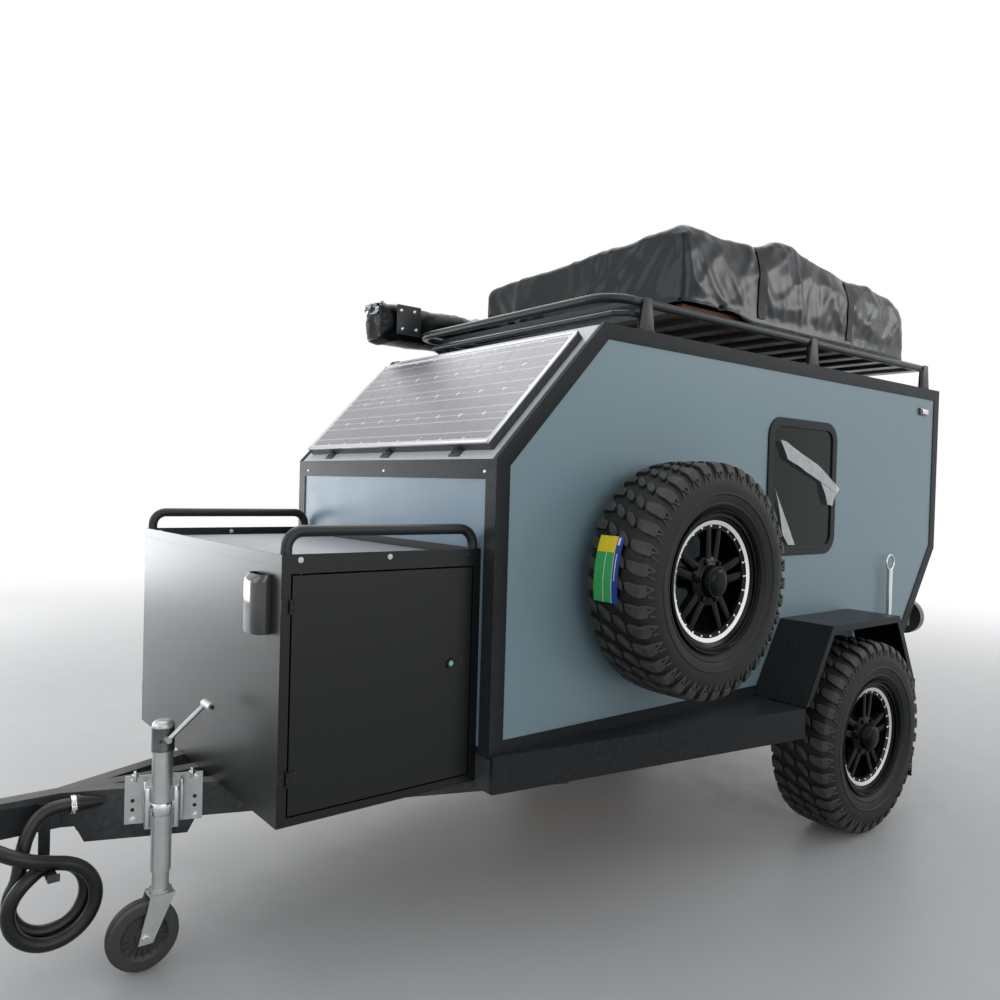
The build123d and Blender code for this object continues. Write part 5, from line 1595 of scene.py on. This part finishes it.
locker_low, locker_high = (Vector(corner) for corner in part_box("locker_lid"))
locker_faces = {-1: locker_low.y, 1: locker_high.y}
lid_bolt_places = (-1.226, -0.952)
lid_bolts = bmesh.new()
lid_screws = bmesh.new()
for side, face_y in locker_faces.items():
    for x in lid_bolt_places:
        head_y = face_y + side * 0.0022
        add_rod(lid_bolts, (x, face_y, 1.1995), (x, head_y, 1.1995), 0.0082, 24, 0.001)
    add_dome(lid_screws, (-0.672, face_y, 1.1975), (0, side, 0), 0.0062, 0.35)
for x in lid_bolt_places:
    inner_y = locker_high.y - 0.004
    add_rod(lid_bolts, (x, inner_y, 1.2000), (x, inner_y - 0.0020, 1.2000), 0.0082, 24, 0.0008)
settle("lid_bolts", lid_bolts, white_cap)
# Tray under the lid, painted pale grey: partly a painted reflection of the windows
tray = bmesh.new()
tray_inset = Vector((0.006, 0.040, 0))
tray_low, tray_high = locker_low + tray_inset, locker_high - tray_inset
add_block(tray, (*tray_low.xy, 1.1868), (*tray_high.xy, 1.1886), soft=0.0005)
settle("tray_sheet", tray, tray_reflection_paint)
settle("lid_screws", lid_screws, locker_paint)

# Lock's ring round its face, as radius and distance off the door
lock_ring = [
    (0.0135, -0.004), (0.0190, -0.004), (0.0195, 0.0008),
    (0.0175, 0.0016), (0.0145, 0.0008), (0.0135, 0.0004),
]
for name, side in (("left", -1), ("right", 1)):
    body = f"locker_door_{name}"
    face_y = locker_faces[side]
    middle = Vector((-0.732, face_y, 0.870))
    out = Vector((0, side, 0))
    lock = bmesh.new()
    add_spun(lock, lock_ring, middle, out, steps=40)
    settle(f"lock_ring_{name}", lock, locker_paint, body)
    face = bmesh.new()
    add_rod(face, middle + out * 0.0055, middle + out * 0.0068, 0.0078, sides=28, soft=0.0004)
    settle(f"lock_face_{name}", face, lock_face, body)
    # Slot beside the lock: a thin dark strip of painted shade
    slot = bmesh.new()
    slot_x = middle.x + 0.044
    add_block(
        slot, (slot_x - 0.003, face_y - 0.0006, 0.862), (slot_x + 0.003, face_y + 0.0006, 0.880),
        soft=0.0003,
    )
    settle(f"door_slot_{name}", slot, recess_shade, body)
    leaf_y = face_y + side * 0.003
    hinge_heads = bmesh.new()
    shell_heads = bmesh.new()
    for hinge_z in (1.077, 0.619):
        for rise in (-0.011, 0.011):
            add_dome(hinge_heads, (-1.228, leaf_y, hinge_z + rise), out, 0.0036, 0.5, 10)
            add_dome(shell_heads, (-1.270, leaf_y, hinge_z + rise), out, 0.0032, 0.5, 10)
    settle(f"hinge_screws_{name}", hinge_heads, frame_paint, body)
    settle(f"hinge_fixings_{name}", shell_heads, frame_paint)

# Marker lamp on the locker's front: a round housing with a bevelled head. Each level
# has its height over the lamp's foot and its share of the lamp's depth
lamp_levels = [(0.0, 0.95), (0.006, 1.0), (0.138, 1.0), (0.148, 0.92), (0.160, 0.62)]
lamp_steps = 20
lamp_low, lamp_high = (Vector(corner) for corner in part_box("locker_lamp"))
lamp_middle = (lamp_low.y + lamp_high.y) / 2
housing = bmesh.new()
for index, vert in enumerate(add_net(housing, lamp_steps, len(lamp_levels) - 1)):
    turn = pi * (index // len(lamp_levels)) / lamp_steps
    height, shrink = lamp_levels[index % len(lamp_levels)]
    depth = abs(sin(turn)) ** 0.7 * shrink * (lamp_high.x - lamp_low.x)
    half_width = (lamp_high.y - lamp_low.y) / 2 * (0.97 + 0.03 * shrink)
    across = copysign(abs(cos(turn)) ** 0.6, cos(turn)) * half_width
    vert.co = Vector((lamp_high.x - depth, lamp_middle - across, lamp_low.z + height))
open_edges = [edge for edge in housing.edges if len(edge.link_faces) < 2]
bmesh.ops.holes_fill(housing, edges=open_edges, sides=0)
lamp_piece = settle("marker_housing", housing, lamp_lens, sharp=28)
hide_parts("locker_lamp")


# ---- Screws on the front, roof screws, side markers, tail lamps, fender bolts

trim_screws = bmesh.new()
front_low = Vector(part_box("edge_trims")[0])
for across in (-0.6246, -0.02, 0.60):
    add_dome(trim_screws, (front_low.x, across, 1.4535), (-1, 0, 0), 0.0060, 0.45)
settle("trim_screws", trim_screws, bright_steel)
roof_screws = bmesh.new()
roof_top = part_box("edge_trims")[1][2]
for place in (-0.02, 0.09, 0.75, 1.45, 2.10):
    for side in (-1, 1):
        add_bolt(roof_screws, (place, side * 0.655, roof_top), (0, 0, 1), 0.0055)
settle("roof_screws", roof_screws, bright_steel)

body_half = 0.6805
side_markers = bmesh.new()
marker_faces = bmesh.new()
for side in (-1, 1):
    wall, outer, cap = (side * (body_half + out) for out in (0.0, 0.012, 0.014))
    near, far = sorted((wall, outer))
    add_block(side_markers, (2.095, near, 1.832), (2.182, far, 1.866), soft=0.0025)
    near, far = sorted((outer, cap))
    add_block(marker_faces, (2.118, near, 1.838), (2.176, far, 1.860), soft=0.0009)
settle("marker_bases", side_markers, lamp_lens)
settle("marker_faces", marker_faces, bright_steel)

# Tail lamps: ribbed black guards towards the nose, red lenses towards the tail
nodes["tail_lamps"].data.materials.clear()
nodes["tail_lamps"].data.materials.append(lamp_lens)
lamp_across, lamp_height = 0.6205, 0.795
lens_outline = [
    (0.0, 0.0148), (0.060, 0.0150), (0.074, 0.0160), (0.0840, 0.0120), (0.0845, 0.0040),
    (0.0, 0.0040),
]
# Ribs and the painted highlights in the gaps between them: place across the lamp, half height
guard_table = [(-0.040, 0.040), (-0.013, 0.052), (0.016, 0.050), (0.043, 0.036)]
slot_table = [(-0.0265, 0.046), (0.0015, 0.050), (0.0295, 0.044)]
lenses = bmesh.new()
guards = bmesh.new()
# Pale sheets in the gaps are painted highlights, for the white streaks on the glossy black lamp
slot_highlights = bmesh.new()
for side in (-1, 1):
    y = side * lamp_across
    add_spun(lenses, lens_outline, (2.165, y, lamp_height), (1, 0, 0), steps=56, closed=False)
    for bm, table, start_x, half_width, soft in (
        (guards, guard_table, 2.1375, 0.004, 0.001),
        (slot_highlights, slot_table, 2.1394, 0.0055, 0.0003),
    ):
        for place, half_height in table:
            low = (start_x, y + place - half_width, lamp_height - half_height)
            high = (2.1402, y + place + half_width, lamp_height + half_height)
            add_block(bm, low, high, soft=soft)
settle("tail_lenses", lenses, red_lens)
settle("lamp_guards", guards, lamp_lens)
settle("lamp_slot_highlights", slot_highlights, sheet_paint)

fender_bolts = bmesh.new()
for side in (-1, 1):
    for across in (0.735, 0.800, 0.865):
        add_dome(fender_bolts, (0.757, side * across, 0.590), (0, 0, 1), 0.0065, 0.5)
settle("fender_bolts", fender_bolts, step_paint)


# ---- Label on the spare tyre's tread, blocks of plain colour

label_radius = 0.4030
label_layers = [
    # name, colour, start and end round the tyre in degrees from its top, start and
    # end across it, height over the lugs
    ("label_green", (0.040, 0.36, 0.09), -98.0, -75.5, -0.010, 0.066, 0.0),
    ("label_yellow", (0.80, 0.62, 0.010), -75.5, -68.0, -0.010, 0.066, 0.0),
    ("label_blue", (0.020, 0.045, 0.28), -98.0, -68.0, -0.036, -0.010, 0.0),
    ("label_line_1", (0.75, 0.78, 0.75), -98.0, -75.5, 0.0235, 0.0255, 0.0006),
    ("label_line_2", (0.70, 0.74, 0.78), -98.0, -75.5, -0.0115, -0.0095, 0.0006),
    ("label_line_3", (0.75, 0.76, 0.80), -88.0, -76.0, -0.0225, -0.0195, 0.0006),
    ("label_spot", (0.80, 0.80, 0.85), -72.0, -68.6, -0.0240, -0.0150, 0.0006),
]
for name, tint, start, end, near, far, lift in label_layers:
    paper = painted(name, tint, 0.4, mottle=0.12, mottle_size=60.0, grain_size=200, bump=0.1)
    steps = max(2, round((end - start) / 1.5))
    radius = label_radius + lift
    sheet = bmesh.new()
    for index, vert in enumerate(add_net(sheet, steps, 3)):
        turn = radians(start + (end - start) * (index // 4) / steps)
        across = near + (far - near) * (index % 4) / 3
        vert.co = Vector(spare_middle) + Vector((sin(turn) * radius, across, cos(turn) * radius))
    bmesh.ops.recalc_face_normals(sheet, faces=sheet.faces)
    bmesh.ops.solidify(sheet, geom=list(sheet.faces), thickness=0.0004)
    settle(name, sheet, paper)


# ---- Hinge screws and handles on the right side and the tail

body_top = 1.966
leaf = 0.004
door_screws = bmesh.new()
wall_screws = bmesh.new()
for hinge_z in (0.80, 1.63):
    for rise in (-0.025, 0.025):
        for heads, x in ((door_screws, 0.030), (wall_screws, -0.032)):
            add_dome(heads, (x, body_half + leaf, hinge_z + rise), (0, 1, 0), 0.0045, 0.5)
settle("door_hinge_screws", door_screws, zinc, "entrance_door")
settle("wall_hinge_screws", wall_screws, zinc)
# The handle and the key's disc reach a little into the plate that carries them
handle_face = body_half + 0.014
plate = handle_face - 0.001
handle = bmesh.new()
add_block(
    handle, (0.582, plate, 1.118), (0.608, handle_face + 0.009, 1.166), soft=0.004, steps=3
)
settle("door_pull", handle, frame_paint, "entrance_door")
keyway = bmesh.new()
add_rod(keyway, (0.595, plate, 1.104), (0.595, handle_face + 0.0025, 1.104), 0.0070, 24, 0.0006)
settle("door_key_disc", keyway, bright_steel, "entrance_door")
roof_heads = bmesh.new()
hatch_heads = bmesh.new()
for hinge_y in (-0.5055, 0.0, 0.5055):
    for step in (-0.040, 0.040):
        add_dome(roof_heads, (2.245, hinge_y + step, body_top + leaf), (0, 0, 1), 0.0045, 0.5)
    for step in (-0.015, 0.015):
        add_dome(hatch_heads, (2.313, hinge_y + step, 1.912), (1, 0, 0), 0.0042, 0.5)
settle("roof_hinge_screws", roof_heads, zinc)
settle("hatch_hinge_screws", hatch_heads, zinc, "rear_hatch")
latch_x = 2.3225
latch = bmesh.new()
add_rod(latch, (latch_x, 0.048, 1.226), (latch_x + 0.002, 0.048, 1.226), 0.0080, 24, 0.0005)
add_block(latch, (latch_x, -0.050, 1.214), (latch_x + 0.0017, 0.026, 1.238), soft=0.0007)
settle("hatch_latch", latch, bright_steel, "rear_hatch")


# ---- Roof rack: lower front bar, bent back to the first posts, and the posts' plates

bar_z = 2.040
bar_radius = 0.0115
front_bar = bmesh.new()
for side in (-1, 1):
    for (start_x, start_y), (end_x, end_y) in (
        ((0.060, 0.607), (0.010, 0.607)),
        ((0.014, 0.610), (-0.028, 0.566)),
    ):
        start = (start_x, side * start_y, bar_z)
        add_rod(front_bar, start, (end_x, side * end_y, bar_z), bar_radius, 16)
add_rod(front_bar, (-0.026, -0.572, bar_z), (-0.026, 0.572, bar_z), bar_radius, 16)
settle("rack_front_bar", front_bar, rack_paint)
post_plates = bmesh.new()
post_heads = bmesh.new()
plate_inner, plate_outer = 0.6388, 0.6430
plate_half = 0.042
plate_foot, plate_top = 1.9665, 2.100
for place in (0.075, 1.175, 2.245):
    for side in (-1, 1):
        earlier = set(post_plates.verts)
        near, far = sorted((side * plate_inner, side * plate_outer))
        low, high = (place - plate_half, near, plate_foot), (place + plate_half, far, plate_top)
        add_block(post_plates, low, high, soft=0.001)
        # Each plate tapers up to its post
        for vert in set(post_plates.verts) - earlier:
            rise = (vert.co.z - plate_foot) / (plate_top - plate_foot)
            vert.co.x = place + (vert.co.x - place) * (1 - 0.48 * min(rise * 1.6, 1))
        for step in (-0.022, 0.022):
            foot = (place + step, side * plate_outer, 1.982)
            add_bolt(post_heads, foot, (0, side, 0), 0.0045)
settle("rack_post_plates", post_plates, rack_paint)
settle("rack_post_bolts", post_heads, rack_paint)


# ---- Awning's end: crumpled foil, end plate with its bolts

foil_middle = Vector((-0.226, 0.762, 2.218))
foil_size = Vector((0.056, 0.112, 0.050))
foil_crush = 0.018
foil_creases = 0.004


def foil_point(x, y, z):
    """Point of the crushed foil from its place in a unit box."""
    place = foil_middle + Vector((x, y, z)) * foil_size
    crush = Vector((
        noise.noise(place * 31.0),
        noise.noise(place * 37.0 + Vector((5, 0, 0))),
        noise.noise(place * 29.0 + Vector((0, 9, 0))),
    ))
    fine = noise.noise(place * 90.0)
    return place + crush * foil_crush + Vector((fine, -fine, fine)) * foil_creases


settle("awning_foil", shaped_box(15, foil_point), foil, sharp=24)
end_plate = bmesh.new()
add_block(end_plate, (-0.182, 0.6480, 2.100), (-0.052, 0.6545, 2.236), soft=0.003)
settle("awning_plate", end_plate, rack_paint)
plate_bolts = bmesh.new()
for place, height in ((-0.160, 2.208), (-0.088, 2.210), (-0.152, 2.124), (-0.078, 2.127)):
    add_bolt(plate_bolts, (place, 0.6482, height), (0, -1, 0), 0.0068)
settle("awning_bolts", plate_bolts, bright_steel)


# ---- Shipping film half peeled off the side window

film_skin, film_tree, film_shader = new_material("film_skin")
add_finish(
    film_tree, film_shader, (0.86, 0.90, 0.90), 0.2, mottle=0.35, mottle_size=45.0,
    grain_size=260, bump=0.8,
)
film_shader.inputs["Alpha"].default_value = 0.55
pane_face = -0.6890


def film_strip(name, upper, lower, lift, rise=1.0):
    """Thin strip between two rows of (x, z) points on the window, waving off its pane."""
    bm = bmesh.new()
    across = 6
    spans = len(upper) - 1
    along = 8 * spans
    for index, vert in enumerate(add_net(bm, along, across)):
        place = (index // (across + 1)) / along * spans
        step = min(int(place), spans - 1)
        share = place - step
        top = Vector(upper[step]).lerp(Vector(upper[step + 1]), share)
        foot = Vector(lower[step]).lerp(Vector(lower[step + 1]), share)
        point = foot.lerp(top, (index % (across + 1)) / across)
        wave = 0.5 + 0.5 * noise.noise(Vector((point.x * 16, point.y * 16, 3.0)))
        vert.co = Vector((point.x, pane_face - lift - 0.010 * rise * wave, point.y))
    area = sum(face.calc_area() for face in bm.faces)
    film = settle(name, bm, film_skin, sharp=0)


film_strip(
    "film_strip",
    upper=[
        (0.855, 1.634), (0.892, 1.629), (1.011, 1.586), (1.139, 1.542), (1.232, 1.495),
        (1.333, 1.441),
    ],
    lower=[
        (0.857, 1.631), (0.909, 1.557), (0.991, 1.530), (1.078, 1.499), (1.179, 1.468),
        (1.304, 1.416),
    ],
    lift=0.003,
)
film_strip(
    "film_tail",
    upper=[(1.179, 1.468), (1.240, 1.443), (1.304, 1.416)],
    lower=[(1.232, 1.370), (1.254, 1.366), (1.276, 1.364)],
    lift=0.001,
)
film_strip(
    "film_foot",
    upper=[(0.833, 1.434), (0.860, 1.380), (0.900, 1.239), (0.942, 1.196)],
    lower=[(0.833, 1.432), (0.898, 1.337), (0.944, 1.273), (0.993, 1.195)],
    lift=0.0,
    rise=0.3,
)
